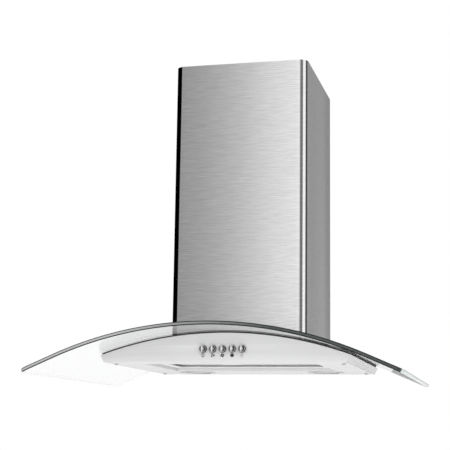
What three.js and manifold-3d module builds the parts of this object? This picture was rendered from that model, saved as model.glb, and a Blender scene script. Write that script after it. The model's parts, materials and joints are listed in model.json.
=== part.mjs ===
// A 600 mm wall hood: arched glass over a shallow steel body, with the blower in the chimney.
// Millimetres. +X is to the right, -Y is towards the cook, +Z is up, and the wall is the plane y = 0.
// The origin is on the body's wall face, BODY_BOTTOM above its underside.

import * as THREE from 'three';
import { mergeVertices } from 'three/addons/utils/BufferGeometryUtils.js';
import Module from 'manifold-3d';

const wasm = await Module();
wasm.setup();

// ---------------------------------------------------------------- driving dimensions

const SEAT = 0.3; // gap between two pieces that rest on each other
const ARC_STEP = THREE.MathUtils.degToRad(2.5); // facet angle of the arch
const HOLE_SIDES = 8; // facets of a screw or a screw hole
const BORE_SIDES = 24; // facets of an inlet, outlet or lamp hole
const CAP_SIDES = 12; // facets of a button, nut or gland
const CAN_SIDES = 16; // facets of a lamp, motor or capacitor

// Body: a shallow casing under the glass, wider at the top than at the bottom.
const BODY_BOTTOM = -30;
const BODY_DEPTH = 358;
const BODY_HALF_BOTTOM = 200;
const BODY_HALF_TOP = 206;
const SHEET = 1.2;
const RETURN_DEPTH = 10; // of the fascia, into the casing

// Glass: a round arch in the middle, straight wings outside it.
const GLASS_WIDTH = 600;
const GLASS_OVERHANG = 116; // in front of the body
const GLASS_WALL_GAP = 3;
const GLASS_THICKNESS = 6;
const GLASS_RADIUS = 615;
const GLASS_ARC_HALF = 242;
const GLASS_RISE = 49; // underside of the arch above the underside of the body
const GLASS_FRONT_CORNER = 14;
const GLASS_BACK_CORNER = 6;
const SEAL_THICKNESS = 1.6;
const SEAL_WIDTH = 8;

// Chimney: two U-shaped covers, the inner one lowered into the outer one.
const CHIMNEY_WIDTH = 236;
const CHIMNEY_DEPTH = 256;
const CHIMNEY_TOP = BODY_BOTTOM + 529;
const CHIMNEY_WALL = 1;
const CHIMNEY_CORNER = 15;
const CHIMNEY_RETURN = 14; // width of the flange along the wall
const SLIDE_GAP = 0.8; // between the two covers
const INNER_BOTTOM = BODY_BOTTOM + 75;
const INNER_TOP_DROP = 3;
const REST_TAB = 14; // width of the tabs that the inner cover rests on
const VENT_SLOTS = 4;
const VENT_DROP = 50; // lowest edge of the top slot, below the cover's top
const VENT_PITCH = 12;
const VENT_HEIGHT = 5;
const VENT_LENGTH = 120;

// Ceiling bracket inside the inner cover, and the clips at the foot of the outer one.
const BRACKET_SHEET = 1.5;
const BRACKET_HEIGHT = 30;
const BRACKET_DROP = 4; // below the inner cover's top
const BRACKET_ARM = 60; // reach of its arms from the wall
const BRACKET_SLOT_X = 60;
const BRACKET_SLOT_LENGTH = 24;
const BRACKET_SLOT_HEIGHT = 6;
const CLIP_BACK = -22;
const CLIP_WIDTH = 22;
const CLIP_FOOT = BODY_BOTTOM + 56;
const CLIP_SHELF = BODY_BOTTOM + 62;

// Fan box: stands on the body's neck, passes through the notch of the glass.
const BOX_HALF = 92;
const BOX_FRONT_GAP = 12; // in front of the scroll
const BOX_BACK = -1;
const BOX_TOP = BODY_BOTTOM + 292;
const NECK_TOP = BODY_BOTTOM + 66;
const NECK_CORNER = 4;
const NOTCH_GAP = 3; // from the fan box to the glass
const NOTCH_CORNER = 8;
const KEYHOLE_X = 62;
const KEYHOLE_DROP = 40; // middle of the round end, below the box's top
const KEYHOLE_RADIUS = 6;
const KEYHOLE_NECK = 6; // width of the slot
const KEYHOLE_SLOT = 16; // length of the slot above the round end
const CABLE_HOLE = [-30, -48];
const CABLE_HOLE_RADIUS = 5;

// Blower: double-inlet scroll about a shaft along X.
const SCROLL_Y = -109;
const SCROLL_Z = BODY_BOTTOM + 180;
const SCROLL_HALF = 65;
const SCROLL_WALL = 2;
const SCROLL_START_GAP = 8; // from the impeller at the tongue
const SCROLL_END_GAP = 40; // from the impeller at the outlet
const SCROLL_TONGUE = 70; // degrees, where the spiral starts
const SCROLL_STEP = 12.5; // degrees
const SCROLL_FLANGE = 8; // around the outlet
const OUTLET_BACK = 20; // back wall of the outlet, from the shaft
const INLET_RADIUS = 60;
const INLET_LIP = 5; // flare of the inlet's edge
const IMPELLER_RADIUS = 75;
const IMPELLER_HALF = 57;
const BLADE_COUNT = 20;
const BLADE_DEPTH = 12;
const BLADE_THICKNESS = 1.4;
const BLADE_CURL = 11; // degrees that the tip leads the root
const WHEEL_RING = 2.5; // thickness of the end rings
const HUB_RADIUS = 12;
const HUB_HALF = 9;
const MOTOR_RADIUS = 43;
const MOTOR_BACK = -85;
const MOTOR_FRONT = -24;
const MOTOR_BELL = 12; // length of each end bell
const MOTOR_BOSS = 13; // radius of the boss around the shaft
const SHAFT_RADIUS = 4;
const NUT_RADIUS = 8;
const NUT_LENGTH = 6;
const MOUNT_REACH = 74; // feet of the motor bracket, from the shaft
const MOUNT_ANGLES = [90, 210, 330];
const MOUNT_SHEET = 2;
const MOUNT_STANDOFF = 6.5; // face of its arms, from the scroll
const MOUNT_RING = 5; // thickness of the ring around the motor
const MOUNT_ARM = 12; // width of its arms and feet

// Outlet collar for a 120 mm duct.
const COLLAR_Y = -156;
const COLLAR_RADIUS = 60;
const COLLAR_WALL = 1.5;
const COLLAR_HEIGHT = 52;
const COLLAR_FLANGE_X = 73;
const COLLAR_FLANGE_Y = 66;
const COLLAR_FLANGE_THICKNESS = 2;
const COLLAR_BAR = 10; // width of the bar under the flaps
const COLLAR_LEDGE = 3; // width of the ledge that the flaps rest on
const FLAP_THICKNESS = 1.5;
const FLAP_GAP = 2; // from a flap to the bore
const FLAP_HINGE_Y = 3.2; // hinge line of each flap from the middle of the collar
const FLAP_HEIGHT = 12; // hinge line above the fan box
const FLAP_BARREL = 2;
const FLAP_PIN = 1.2;

// Underside panel and grease filter.
const PANEL_EDGE_GAP = 0.5;
const FRONT_RIM = 53; // in front of the filter opening
const FILTER_HALF = 146;
const FILTER_BACK = -115;
const FILTER_LIP = 15; // height of the lips around the filter opening
const FILTER_PIN = 1.5;
const FRAME_SIDE_GAP = 1.2;
const FRAME_FRONT_GAP = 1;
const FRAME_BACK_GAP = 1.5;
const FRAME_RECESS = 5; // underside of the cassette above the underside of the body
const FRAME_HEIGHT = 9;
const FRAME_BAR = 14;
const FRAME_SKIN = 1.5;
const FRAME_WALL = 3; // outside the channel that holds the mesh
const FRAME_HINGE_WALL = 6;
const FRAME_HINGE_INSET = 2.5;
const MESH_THICKNESS = 2;
const MESH_BORDER = 11;
const MESH_COLUMNS = 6;
const MESH_ROWS = 5;
const MESH_RIB = 3.4;
const LATCH_HALF = 20;
const LATCH_STROKE = 6;
const LATCH_THICKNESS = 1.5;
const LATCH_TONGUE = 8; // half width
const LATCH_TAB = 3; // depth of the finger tab
const LATCH_POST_X = 12;
const LATCH_POST_RADIUS = 2;
const LATCH_POST_INSET = 6.5; // behind the frame's front

// Controls.
const BUTTON_COUNT = 5;
const BUTTON_PITCH = 16;
const BUTTON_RADIUS = 5.5;
const BUTTON_GAP = 0.5;
const BUTTON_HEIGHT = BODY_BOTTOM + 21;
const BUTTON_PROUD = 5;
const BUTTON_ROLL = 0.9; // radius of the cap's rolled rim
const BUTTON_DISH = 1.3; // depth of the hollow in the cap's front
const BUTTON_STROKE = 3;
const STEM_RADIUS = 2.5;
const STEM_DEPTH = 14; // in the switch block
const SWITCH_FRONT = 4.5; // from the back of the fascia
const SWITCH_DEPTH = 30;
const SWITCH_SIDE = 12; // beyond the outer buttons
const SWITCH_HALF_HEIGHT = 10;
const SWITCH_FOOT = 8; // width of its feet on the fascia

// Lamps, in the panel's rear rim.
const LAMP_X = 120;
const LAMP_Y = -62;
const LAMP_HOLE_RADIUS = 29;
const LAMP_FLANGE_RADIUS = 33;
const LAMP_FLANGE_DROP = 1.1; // below the panel
const LAMP_SLEEVE_TOP = 12;
const LAMP_CAN_RADIUS = 20;
const LAMP_CAN_HEIGHT = 22;
const LAMP_WALL = 1.2;
const LENS_RADIUS = 26;
const LENS_DROP = 0.1; // seat of the lens, below the panel
const LENS_EDGE = 1.5;
const LENS_THICKNESS = 2.5;

// Electrics: the driver in the body, the terminal box and the capacitor on the fan box.
const DRIVER_X = [-36, 36];
const DRIVER_Y = [-94, -42];
const DRIVER_HEIGHT = 16;
const DRIVER_EAR = 8; // reach of its two ears
const TERMINAL_X = [-78, 18];
const TERMINAL_Y = [-80, -16];
const TERMINAL_HEIGHT = 28;
const LID_HEIGHT = 3;
const LID_STEP = 2; // from a box's side to its lid's
const GLAND_NECK = 7.7;
const GLAND_HEX = 10;
const GLAND_CAP = 8;
const CORD_RADIUS = 4;
const CAPACITOR_X = 55;
const CAPACITOR_Y = -48;
const CAPACITOR_RADIUS = 13.5;
const CAPACITOR_BASE = 19;
const CAPACITOR_HEIGHT = 49;

// Fasteners.
const SCREW_RADIUS = 1.7;
const SCREW_HEAD_RADIUS = 3.4;
const SCREW_HEAD_HEIGHT = 2;
const GLASS_SCREW_X = 107;
const GLASS_SCREW_ROWS = [-45, -215];
const GLASS_HOLE_RADIUS = 4.5;
const GROMMET_RADIUS = 6.5;
const GROMMET_RIM = 2;
const BOX_SCREW_ROWS = [-60, -190];
const BOX_SCREW_Z = BODY_BOTTOM + 59;
const PANEL_SCREW_X = 190;
const PANEL_SCREW_REAR = 40; // from the wall
const PANEL_SCREW_FRONT = 38; // from the front of the body
const PANEL_TAB = 7; // half size of the casing's screw tabs
const COLLAR_SCREW_X = 69;
const COLLAR_SCREW_Y = 50;
const SHORT_SCREW = 6; // lengths under the head
const SCREW_LENGTH = 7;
const LONG_SCREW = 8;
const SCREW_REACH = 5; // of a glass screw, past the deck

// ---------------------------------------------------------------- sizes that follow

const ARCH_CENTRE = BODY_BOTTOM + GLASS_RISE - GLASS_RADIUS;
const DECK_RADIUS = GLASS_RADIUS - SEAL_THICKNESS - 2 * SEAT;
const GLASS_FRONT = BODY_DEPTH + GLASS_OVERHANG;
const SCROLL_START_RADIUS = IMPELLER_RADIUS + SCROLL_START_GAP;
const SCROLL_END_RADIUS = IMPELLER_RADIUS + SCROLL_END_GAP;
const BOX_FRONT = SCROLL_Y - SCROLL_END_RADIUS - BOX_FRONT_GAP;
const FILTER_FRONT = -BODY_DEPTH + FRONT_RIM;
const PANEL_SCREW_ROWS = [-PANEL_SCREW_REAR, -BODY_DEPTH + PANEL_SCREW_FRONT];
const FRONT_FACE = -BODY_DEPTH;
const FASCIA_BACK = FRONT_FACE + SHEET;
const CASE_FRONT = FASCIA_BACK + SEAT;
const PANEL_TOP = BODY_BOTTOM + SHEET;
const PANEL_HALF = BODY_HALF_BOTTOM - SHEET - PANEL_EDGE_GAP;
const PANEL_FRONT = FASCIA_BACK + SEAT;
const PANEL_BACK = -SHEET - PANEL_EDGE_GAP;
const NECK_HALF = BOX_HALF - SHEET - SEAT;
const NECK_FRONT = BOX_FRONT + SHEET + SEAT;
const NECK_BACK = BOX_BACK - SHEET - SEAT;
const SCROLL_TOP = BOX_TOP - SHEET - SEAT - SCROLL_Z;
const INNER_TOP = CHIMNEY_TOP - INNER_TOP_DROP;
const INNER_HALF = CHIMNEY_WIDTH / 2 - CHIMNEY_WALL - SLIDE_GAP;
const INNER_FRONT = -CHIMNEY_DEPTH + CHIMNEY_WALL + SLIDE_GAP;
const INNER_BACK = -CHIMNEY_WALL - SLIDE_GAP;
const INNER_CORNER = CHIMNEY_CORNER - CHIMNEY_WALL - SLIDE_GAP;
const FRAME_BOTTOM = BODY_BOTTOM + FRAME_RECESS;
const HINGE_Y = FILTER_BACK - FRAME_BACK_GAP - FRAME_HINGE_INSET;
const HINGE_Z = FRAME_BOTTOM + FRAME_HINGE_INSET;
const FRAME_HALF = FILTER_HALF - FRAME_SIDE_GAP;
const FRAME_FRONT = FILTER_FRONT + FRAME_FRONT_GAP - HINGE_Y; // from the hinge
const FRAME_BACK = FRAME_HINGE_INSET; // from the hinge
const FRAME_UNDER = -FRAME_HINGE_INSET; // from the hinge

// ---------------------------------------------------------------- looks

function look(color, roughness, metalness) {
  return new THREE.MeshStandardMaterial({ color, roughness, metalness, flatShading: true });
}

const brushedSteel = look(0xc2c4c6, 0.35, 1);
const paintedSteel = look(0xe3e5e6, 0.4, 0.3);
const galvanised = look(0xa9adb0, 0.5, 1);
const chrome = look(0xdcdfe2, 0.12, 1);
const aluminium = look(0xc9ccce, 0.45, 1);
const blackPlastic = look(0x26282a, 0.5, 0);
const greyPlastic = look(0x9a9da0, 0.55, 0);
const blackRubber = look(0x151617, 0.8, 0);
const frostedLens = look(0xf4f4ee, 0.5, 0);
const clearGlass = look(0xe4ece9, 0.03, 0);
clearGlass.transparent = true;
clearGlass.opacity = 0.3;

// ---------------------------------------------------------------- solids

function solidFrom(positions, triangles) {
  const mesh = new wasm.Mesh({
    numProp: 3,
    vertProperties: new Float32Array(positions),
    triVerts: new Uint32Array(triangles),
  });
  return new wasm.Manifold(mesh);
}

// A closed three.js geometry as a solid, with its faces pointing out.
function toSolid(geometry) {
  geometry.deleteAttribute('normal');
  geometry.deleteAttribute('uv');
  const merged = mergeVertices(geometry, 1e-4);
  const index = merged.index.array;
  const triangles = [];
  for (let i = 0; i < index.length; i += 3) {
    const [a, b, c] = index.slice(i, i + 3);
    if (a !== b && b !== c && c !== a) triangles.push(a, b, c);
  }
  const positions = merged.attributes.position.array;
  const solid = solidFrom(positions, triangles);
  return solid.volume() < 0 ? solidFrom(positions, triangles.reverse()) : solid;
}

function toGeometry(solid) {
  const mesh = solid.getMesh();
  const geometry = new THREE.BufferGeometry();
  geometry.setAttribute('position', new THREE.BufferAttribute(mesh.vertProperties, 3));
  geometry.setIndex(new THREE.BufferAttribute(mesh.triVerts, 1));
  geometry.computeVertexNormals();
  return geometry;
}

function join(solids) {
  return solids.reduce((whole, piece) => whole.add(piece));
}

function cut(solid, tools) {
  return tools.reduce((rest, tool) => rest.subtract(tool), solid);
}

// A block from its lowest and highest value along each axis.
function block([x0, x1], [y0, y1], [z0, z1]) {
  const geometry = new THREE.BoxGeometry(x1 - x0, y1 - y0, z1 - z0);
  geometry.translate((x0 + x1) / 2, (y0 + y1) / 2, (z0 + z1) / 2);
  return toSolid(geometry);
}

// Turns a geometry made about the Y axis so that its +Y runs along another axis.
function alongAxis(geometry, axis) {
  if (axis === 'x') geometry.rotateZ(-Math.PI / 2);
  if (axis === 'z') geometry.rotateX(Math.PI / 2);
  return geometry;
}

// A round bar along an axis; centre holds its other two coordinates.
function rod(axis, radius, [from, to], centre = [0, 0], sides = 24) {
  const geometry = alongAxis(new THREE.CylinderGeometry(radius, radius, to - from, sides), axis);
  const middle = (from + to) / 2;
  const place = {
    x: [middle, centre[0], centre[1]],
    y: [centre[0], middle, centre[1]],
    z: [centre[0], centre[1], middle],
  };
  geometry.translate(...place[axis]);
  return toSolid(geometry);
}

// A turned piece about an axis through the local origin; the profile holds [radius, height] pairs.
function turned(axis, profile, segments = 32) {
  const points = profile.map(([radius, height]) => new THREE.Vector2(radius, height));
  return toSolid(alongAxis(new THREE.LatheGeometry(points, segments), axis));
}

const X = new THREE.Vector3(1, 0, 0);
const Y = new THREE.Vector3(0, 1, 0);
const Z = new THREE.Vector3(0, 0, 1);
const PRISM_TURN = {
  x: new THREE.Matrix4().makeBasis(Y, Z, X), // outline in y, z
  y: new THREE.Matrix4().makeBasis(X, Z, Y.clone().negate()), // outline in x, z
  z: new THREE.Matrix4(), // outline in x, y
};

// An outline swept along an axis.
function prism(axis, outline, [from, to], curveSegments = 6) {
  const options = { depth: to - from, bevelEnabled: false, curveSegments };
  const geometry = new THREE.ExtrudeGeometry(outline, options);
  geometry.applyMatrix4(PRISM_TURN[axis]);
  const start = { x: [from, 0, 0], y: [0, to, 0], z: [0, 0, from] };
  geometry.translate(...start[axis]);
  return toSolid(geometry);
}

function outlineOf(points) {
  return new THREE.Shape(points.map(([a, b]) => new THREE.Vector2(a, b)));
}

// A rectangle with its own corner radius at the low and at the high end of the second axis.
function roundedRectangle([a0, a1], [b0, b1], lowRadius, highRadius = lowRadius) {
  const shape = new THREE.Shape();
  shape.moveTo(a0 + lowRadius, b0);
  shape.lineTo(a1 - lowRadius, b0);
  if (lowRadius > 0) shape.absarc(a1 - lowRadius, b0 + lowRadius, lowRadius, -Math.PI / 2, 0);
  shape.lineTo(a1, b1 - highRadius);
  if (highRadius > 0) shape.absarc(a1 - highRadius, b1 - highRadius, highRadius, 0, Math.PI / 2);
  shape.lineTo(a0 + highRadius, b1);
  if (highRadius > 0) shape.absarc(a0 + highRadius, b1 - highRadius, highRadius, Math.PI / 2, Math.PI);
  shape.lineTo(a0, b0 + lowRadius);
  if (lowRadius > 0) shape.absarc(a0 + lowRadius, b0 + lowRadius, lowRadius, Math.PI, Math.PI * 1.5);
  return shape;
}

// ---------------------------------------------------------------- the arch

// Points along a circle about the arch's centre, from one half width to the other.
// All arcs share the same facet angles, so the gap between two of them stays even.
function archLine(radius, half) {
  const end = Math.asin(half / radius);
  const angles = [-end];
  for (let k = Math.ceil(-end / ARC_STEP + 0.05); k * ARC_STEP < end - 0.002; k += 1) {
    angles.push(k * ARC_STEP);
  }
  angles.push(end);
  return angles.map((a) => [radius * Math.sin(a), ARCH_CENTRE + radius * Math.cos(a)]);
}

// Everything below an arc, down to a level.
function underArch(radius, half, level, [from, to]) {
  const line = archLine(radius, half);
  return prism('y', outlineOf([[-half, level], [half, level], ...line.reverse()]), [from, to]);
}

// The body's outline across its width, drawn in by an inset.
function bodyOutline(inset, level = BODY_BOTTOM) {
  const line = archLine(DECK_RADIUS - inset, BODY_HALF_TOP - inset).reverse();
  const half = BODY_HALF_BOTTOM - inset;
  return outlineOf([[-half, level], [half, level], ...line]);
}

// The face of the glass at an offset from its underside: the arc, then a straight wing each side.
function glassLine(offset) {
  const radius = GLASS_RADIUS + offset;
  const turn = Math.asin(GLASS_ARC_HALF / GLASS_RADIUS);
  const middle = archLine(radius, radius * Math.sin(turn));
  const reach = GLASS_WIDTH / 2 + GLASS_THICKNESS * 2;
  const [endX, endZ] = middle[middle.length - 1];
  const tipZ = endZ - (reach - endX) * Math.tan(turn);
  return [[-reach, tipZ], ...middle, [reach, tipZ]];
}

// A rod through the arch along its radius, at a distance x from the middle.
function radialRod(radius, [from, to], x, y) {
  const turn = new THREE.Matrix4().makeRotationY(Math.asin(x / GLASS_RADIUS));
  const geometry = alongAxis(new THREE.CylinderGeometry(radius, radius, to - from, 10), 'z');
  geometry.translate(0, 0, (from + to) / 2);
  geometry.applyMatrix4(turn);
  geometry.translate(0, y, ARCH_CENTRE);
  return toSolid(geometry);
}

function glassScrewPlaces() {
  return GLASS_SCREW_ROWS.flatMap((y) => [[-GLASS_SCREW_X, y], [GLASS_SCREW_X, y]]);
}

// ---------------------------------------------------------------- body

function boxScrewHoles() {
  const across = [-BOX_HALF - 5, BOX_HALF + 5];
  return BOX_SCREW_ROWS.map((y) => rod('x', SCREW_RADIUS + SEAT, across, [y, BOX_SCREW_Z], HOLE_SIDES));
}

function panelScrewPlaces() {
  return PANEL_SCREW_ROWS.flatMap((y) => [[-PANEL_SCREW_X, y], [PANEL_SCREW_X, y]]);
}

// Casing: arched deck, leaning sides and rear wall in one folded sheet, open below and in front.
function bodyCase() {
  const outer = prism('y', bodyOutline(0), [CASE_FRONT, 0]);
  const inner = prism('y', bodyOutline(SHEET, BODY_BOTTOM - 1), [CASE_FRONT - 1, -SHEET]);
  const shell = outer.subtract(inner);

  const plan = [-NECK_HALF, NECK_HALF];
  const depth = [NECK_FRONT, NECK_BACK];
  const hole = [-NECK_HALF + SHEET, NECK_HALF - SHEET];
  const holeDepth = [NECK_FRONT + SHEET, NECK_BACK - SHEET];
  const wall = roundedRectangle(plan, depth, NECK_CORNER);
  const neck = prism('z', wall, [BODY_BOTTOM + GLASS_RISE / 2, NECK_TOP], 2);
  const roof = underArch(DECK_RADIUS - SHEET / 2, NECK_HALF + 5, BODY_BOTTOM - 1, [NECK_FRONT - 5, 0]);
  const upstand = neck.subtract(roof);
  const mouth = roundedRectangle(hole, holeDepth, NECK_CORNER - SHEET);
  const passage = prism('z', mouth, [BODY_BOTTOM + GLASS_RISE / 4, NECK_TOP + 1], 2);

  const tabs = panelScrewPlaces().map(([x, y]) => {
    const side = Math.sign(x);
    const reach = [side * (PANEL_SCREW_X - PANEL_TAB), side * (BODY_HALF_BOTTOM + SHEET / 2)];
    const level = [PANEL_TOP + SEAT, PANEL_TOP + SEAT + SHEET];
    return block(reach.sort((a, b) => a - b), [y - PANEL_TAB, y + PANEL_TAB], level);
  });
  const tabHoles = panelScrewPlaces().map(([x, y]) =>
    rod('z', SCREW_RADIUS + SEAT, [PANEL_TOP, PANEL_TOP + 5], [x, y], HOLE_SIDES));
  const glassHoles = glassScrewPlaces().map(([x, y]) =>
    radialRod(SCREW_RADIUS + SEAT, [DECK_RADIUS - 5, DECK_RADIUS + 5], x, y));

  const whole = join([shell, upstand, ...tabs]);
  return cut(whole, [passage, ...tabHoles, ...glassHoles, ...boxScrewHoles()]);
}

// Fascia: the arched front, with a return that slips into the casing.
function frontFascia() {
  const plate = prism('y', bodyOutline(0), [FRONT_FACE, FASCIA_BACK]);
  const sleeve = bodyOutline(SHEET + SEAT, PANEL_TOP + SEAT);
  const outer = prism('y', sleeve, [FRONT_FACE, FASCIA_BACK + RETURN_DEPTH]);
  const inner = prism('y', bodyOutline(2 * SHEET + SEAT, BODY_BOTTOM - 1), [FASCIA_BACK, 0]);
  const through = [FRONT_FACE - 1, FASCIA_BACK + 1];
  const holes = buttonPlaces().map((x) =>
    rod('y', BUTTON_RADIUS + BUTTON_GAP, through, [x, BUTTON_HEIGHT], CAN_SIDES));
  return cut(plate.add(outer.subtract(inner)), holes);
}

// Underside panel: a flat rim with lips around the filter and two lamp holes.
function bottomPanel() {
  const rim = block([-PANEL_HALF, PANEL_HALF], [PANEL_FRONT, PANEL_BACK], [BODY_BOTTOM, PANEL_TOP]);
  const lipOuter = block(
    [-FILTER_HALF - SHEET, FILTER_HALF + SHEET],
    [FILTER_FRONT - SHEET, FILTER_BACK + SHEET],
    [BODY_BOTTOM, BODY_BOTTOM + FILTER_LIP],
  );
  const opening = block(
    [-FILTER_HALF, FILTER_HALF],
    [FILTER_FRONT, FILTER_BACK],
    [BODY_BOTTOM - 1, BODY_BOTTOM + FILTER_LIP + 1],
  );
  const lampHoles = [-LAMP_X, LAMP_X].map((x) =>
    rod('z', LAMP_HOLE_RADIUS, [BODY_BOTTOM - 1, PANEL_TOP + 1], [x, LAMP_Y], BORE_SIDES));
  const screwHoles = panelScrewPlaces().map(([x, y]) =>
    rod('z', SCREW_RADIUS + SEAT, [BODY_BOTTOM - 1, PANEL_TOP + 1], [x, y], HOLE_SIDES));
  const pinReach = FILTER_HALF + SHEET + 1;
  const pinHole = rod('x', FILTER_PIN + SEAT, [-pinReach, pinReach], [HINGE_Y, HINGE_Z], HOLE_SIDES);
  return cut(rim.add(lipOuter), [opening, pinHole, ...lampHoles, ...screwHoles]);
}

// ---------------------------------------------------------------- glass

// The pane seen from above: round corners, and a notch at the back for the fan box.
function glassPlan() {
  const half = GLASS_WIDTH / 2;
  const depth = [-GLASS_FRONT, -GLASS_WALL_GAP];
  const pane = roundedRectangle([-half, half], depth, GLASS_FRONT_CORNER, GLASS_BACK_CORNER);
  const notchHalf = BOX_HALF + NOTCH_GAP;
  const notch = roundedRectangle([-notchHalf, notchHalf], [BOX_FRONT - NOTCH_GAP, 1], NOTCH_CORNER, 0);
  const height = [BODY_BOTTOM - 80, BODY_BOTTOM + GLASS_RISE + 40];
  return prism('z', pane, height, 6).subtract(prism('z', notch, height, 3));
}

function glassCanopy() {
  const section = outlineOf([...glassLine(0), ...glassLine(GLASS_THICKNESS).reverse()]);
  const sheet = prism('y', section, [-GLASS_FRONT - 5, 0]);
  const holes = glassScrewPlaces().map(([x, y]) =>
    radialRod(GLASS_HOLE_RADIUS, [GLASS_RADIUS - 2, GLASS_RADIUS + GLASS_THICKNESS + 2], x, y));
  return cut(sheet.intersect(glassPlan()), holes);
}

// Seal: a flat black ring on the deck's edge, under the glass.
function glassSeal() {
  const radius = DECK_RADIUS + SEAT;
  const front = FRONT_FACE + 0.5;
  const back = -GLASS_WALL_GAP - SEAT;
  const half = BODY_HALF_TOP - 0.5;
  const level = BODY_BOTTOM - 5;
  const strip = underArch(radius + SEAL_THICKNESS, half, level, [front, back])
    .subtract(underArch(radius, half + 5, level - 1, [front - 1, back + 1]));
  const middle = block(
    [-half + SEAL_WIDTH, half - SEAL_WIDTH],
    [front + SEAL_WIDTH, back - SEAL_WIDTH],
    [BODY_BOTTOM - 10, BODY_BOTTOM + 80],
  );
  const notchHalf = BOX_HALF + NOTCH_GAP;
  const notch = block([-notchHalf, notchHalf], [back - SEAL_WIDTH - 1, 1], [BODY_BOTTOM, BODY_BOTTOM + 80]);
  return cut(strip, [middle, notch]);
}

// ---------------------------------------------------------------- chimney

// A U-shaped cover seen from above, open at the wall, with a flange along the wall each side.
function coverWalls(half, front, back, corner, height) {
  const wall = CHIMNEY_WALL;
  const outer = roundedRectangle([-half, half], [front, back], corner, 0);
  const inner = roundedRectangle([-half + wall, half - wall], [front + wall, back - wall], corner - wall, 0);
  const gap = half - CHIMNEY_RETURN;
  const mouth = block([-gap, gap], [back - wall - 1, back + 1], [height[0] - 1, height[1] + 1]);
  const hollow = prism('z', inner, [height[0] - 1, height[1] + 1], 5);
  return cut(prism('z', outer, height, 5), [hollow, mouth]);
}

function outerChimney() {
  const half = CHIMNEY_WIDTH / 2;
  const walls = coverWalls(half, -CHIMNEY_DEPTH, 0, CHIMNEY_CORNER, [BODY_BOTTOM, CHIMNEY_TOP]);
  const footRadius = GLASS_RADIUS + GLASS_THICKNESS + SEAT;
  const below = underArch(footRadius, half + 10, BODY_BOTTOM - 5, [-CHIMNEY_DEPTH - 5, 5]);
  const tabs = [-1, 1].map((side) => {
    const reach = [side * (INNER_HALF - 4), side * (half - CHIMNEY_WALL / 2)].sort((a, b) => a - b);
    const middle = -CHIMNEY_DEPTH / 2;
    const level = [INNER_BOTTOM - SEAT - CHIMNEY_WALL, INNER_BOTTOM - SEAT];
    return block(reach, [middle - REST_TAB / 2, middle + REST_TAB / 2], level);
  });
  return join([walls.subtract(below), ...tabs]);
}

function innerChimney() {
  const walls = coverWalls(INNER_HALF, INNER_FRONT, INNER_BACK, INNER_CORNER, [INNER_BOTTOM, INNER_TOP]);
  const middle = INNER_FRONT / 2;
  const slots = [];
  for (let k = 0; k < VENT_SLOTS; k += 1) {
    const low = INNER_TOP - VENT_DROP - k * VENT_PITCH;
    const along = [middle - VENT_LENGTH / 2, middle + VENT_LENGTH / 2];
    const shape = roundedRectangle(along, [low, low + VENT_HEIGHT], VENT_HEIGHT / 2 - 0.01);
    slots.push(prism('x', shape, [-INNER_HALF - 1, INNER_HALF + 1], 1));
  }
  return cut(walls, slots);
}

// Ceiling bracket: a hat-shaped strip between the inner cover's flanges.
function ceilingBracket() {
  const sheet = BRACKET_SHEET;
  const inside = INNER_HALF - CHIMNEY_WALL - SEAT;
  const step = INNER_HALF - CHIMNEY_RETURN - 2;
  const wallLine = -SEAT;
  const stepLine = INNER_BACK - CHIMNEY_WALL - SEAT - sheet;
  const right = [
    [step, wallLine],
    [step, stepLine + sheet],
    [inside, stepLine + sheet],
    [inside, -BRACKET_ARM],
    [inside - sheet, -BRACKET_ARM],
    [inside - sheet, stepLine],
    [step - sheet, stepLine],
    [step - sheet, wallLine - sheet],
  ];
  const left = right.map(([x, y]) => [-x, y]).reverse();
  const top = INNER_TOP - BRACKET_DROP;
  const strip = prism('z', outlineOf([...right, ...left]), [top - BRACKET_HEIGHT, top]);
  const middle = top - BRACKET_HEIGHT / 2;
  const level = [middle - BRACKET_SLOT_HEIGHT / 2, middle + BRACKET_SLOT_HEIGHT / 2];
  const slots = [-BRACKET_SLOT_X, BRACKET_SLOT_X].map((x) => {
    const along = [x - BRACKET_SLOT_LENGTH / 2, x + BRACKET_SLOT_LENGTH / 2];
    const shape = roundedRectangle(along, level, BRACKET_SLOT_HEIGHT / 2 - 0.01);
    return prism('y', shape, [wallLine - sheet - 1, wallLine + 1], 2);
  });
  return cut(strip, slots);
}

// Clip from the fan box to the foot of the chimney, for the right-hand side.
function chimneyClip(side) {
  const near = BOX_HALF + SEAT;
  const far = CHIMNEY_WIDTH / 2 - CHIMNEY_WALL - SEAT;
  const high = INNER_BOTTOM - 3;
  const points = [
    [near, CLIP_FOOT],
    [near + SHEET, CLIP_FOOT],
    [near + SHEET, CLIP_SHELF],
    [far, CLIP_SHELF],
    [far, high],
    [far - SHEET, high],
    [far - SHEET, CLIP_SHELF + SHEET],
    [near, CLIP_SHELF + SHEET],
  ];
  const outline = side > 0 ? points : points.map(([x, z]) => [-x, z]).reverse();
  return prism('y', outlineOf(outline), [CLIP_BACK - CLIP_WIDTH, CLIP_BACK]);
}

// ---------------------------------------------------------------- fan box

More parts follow.
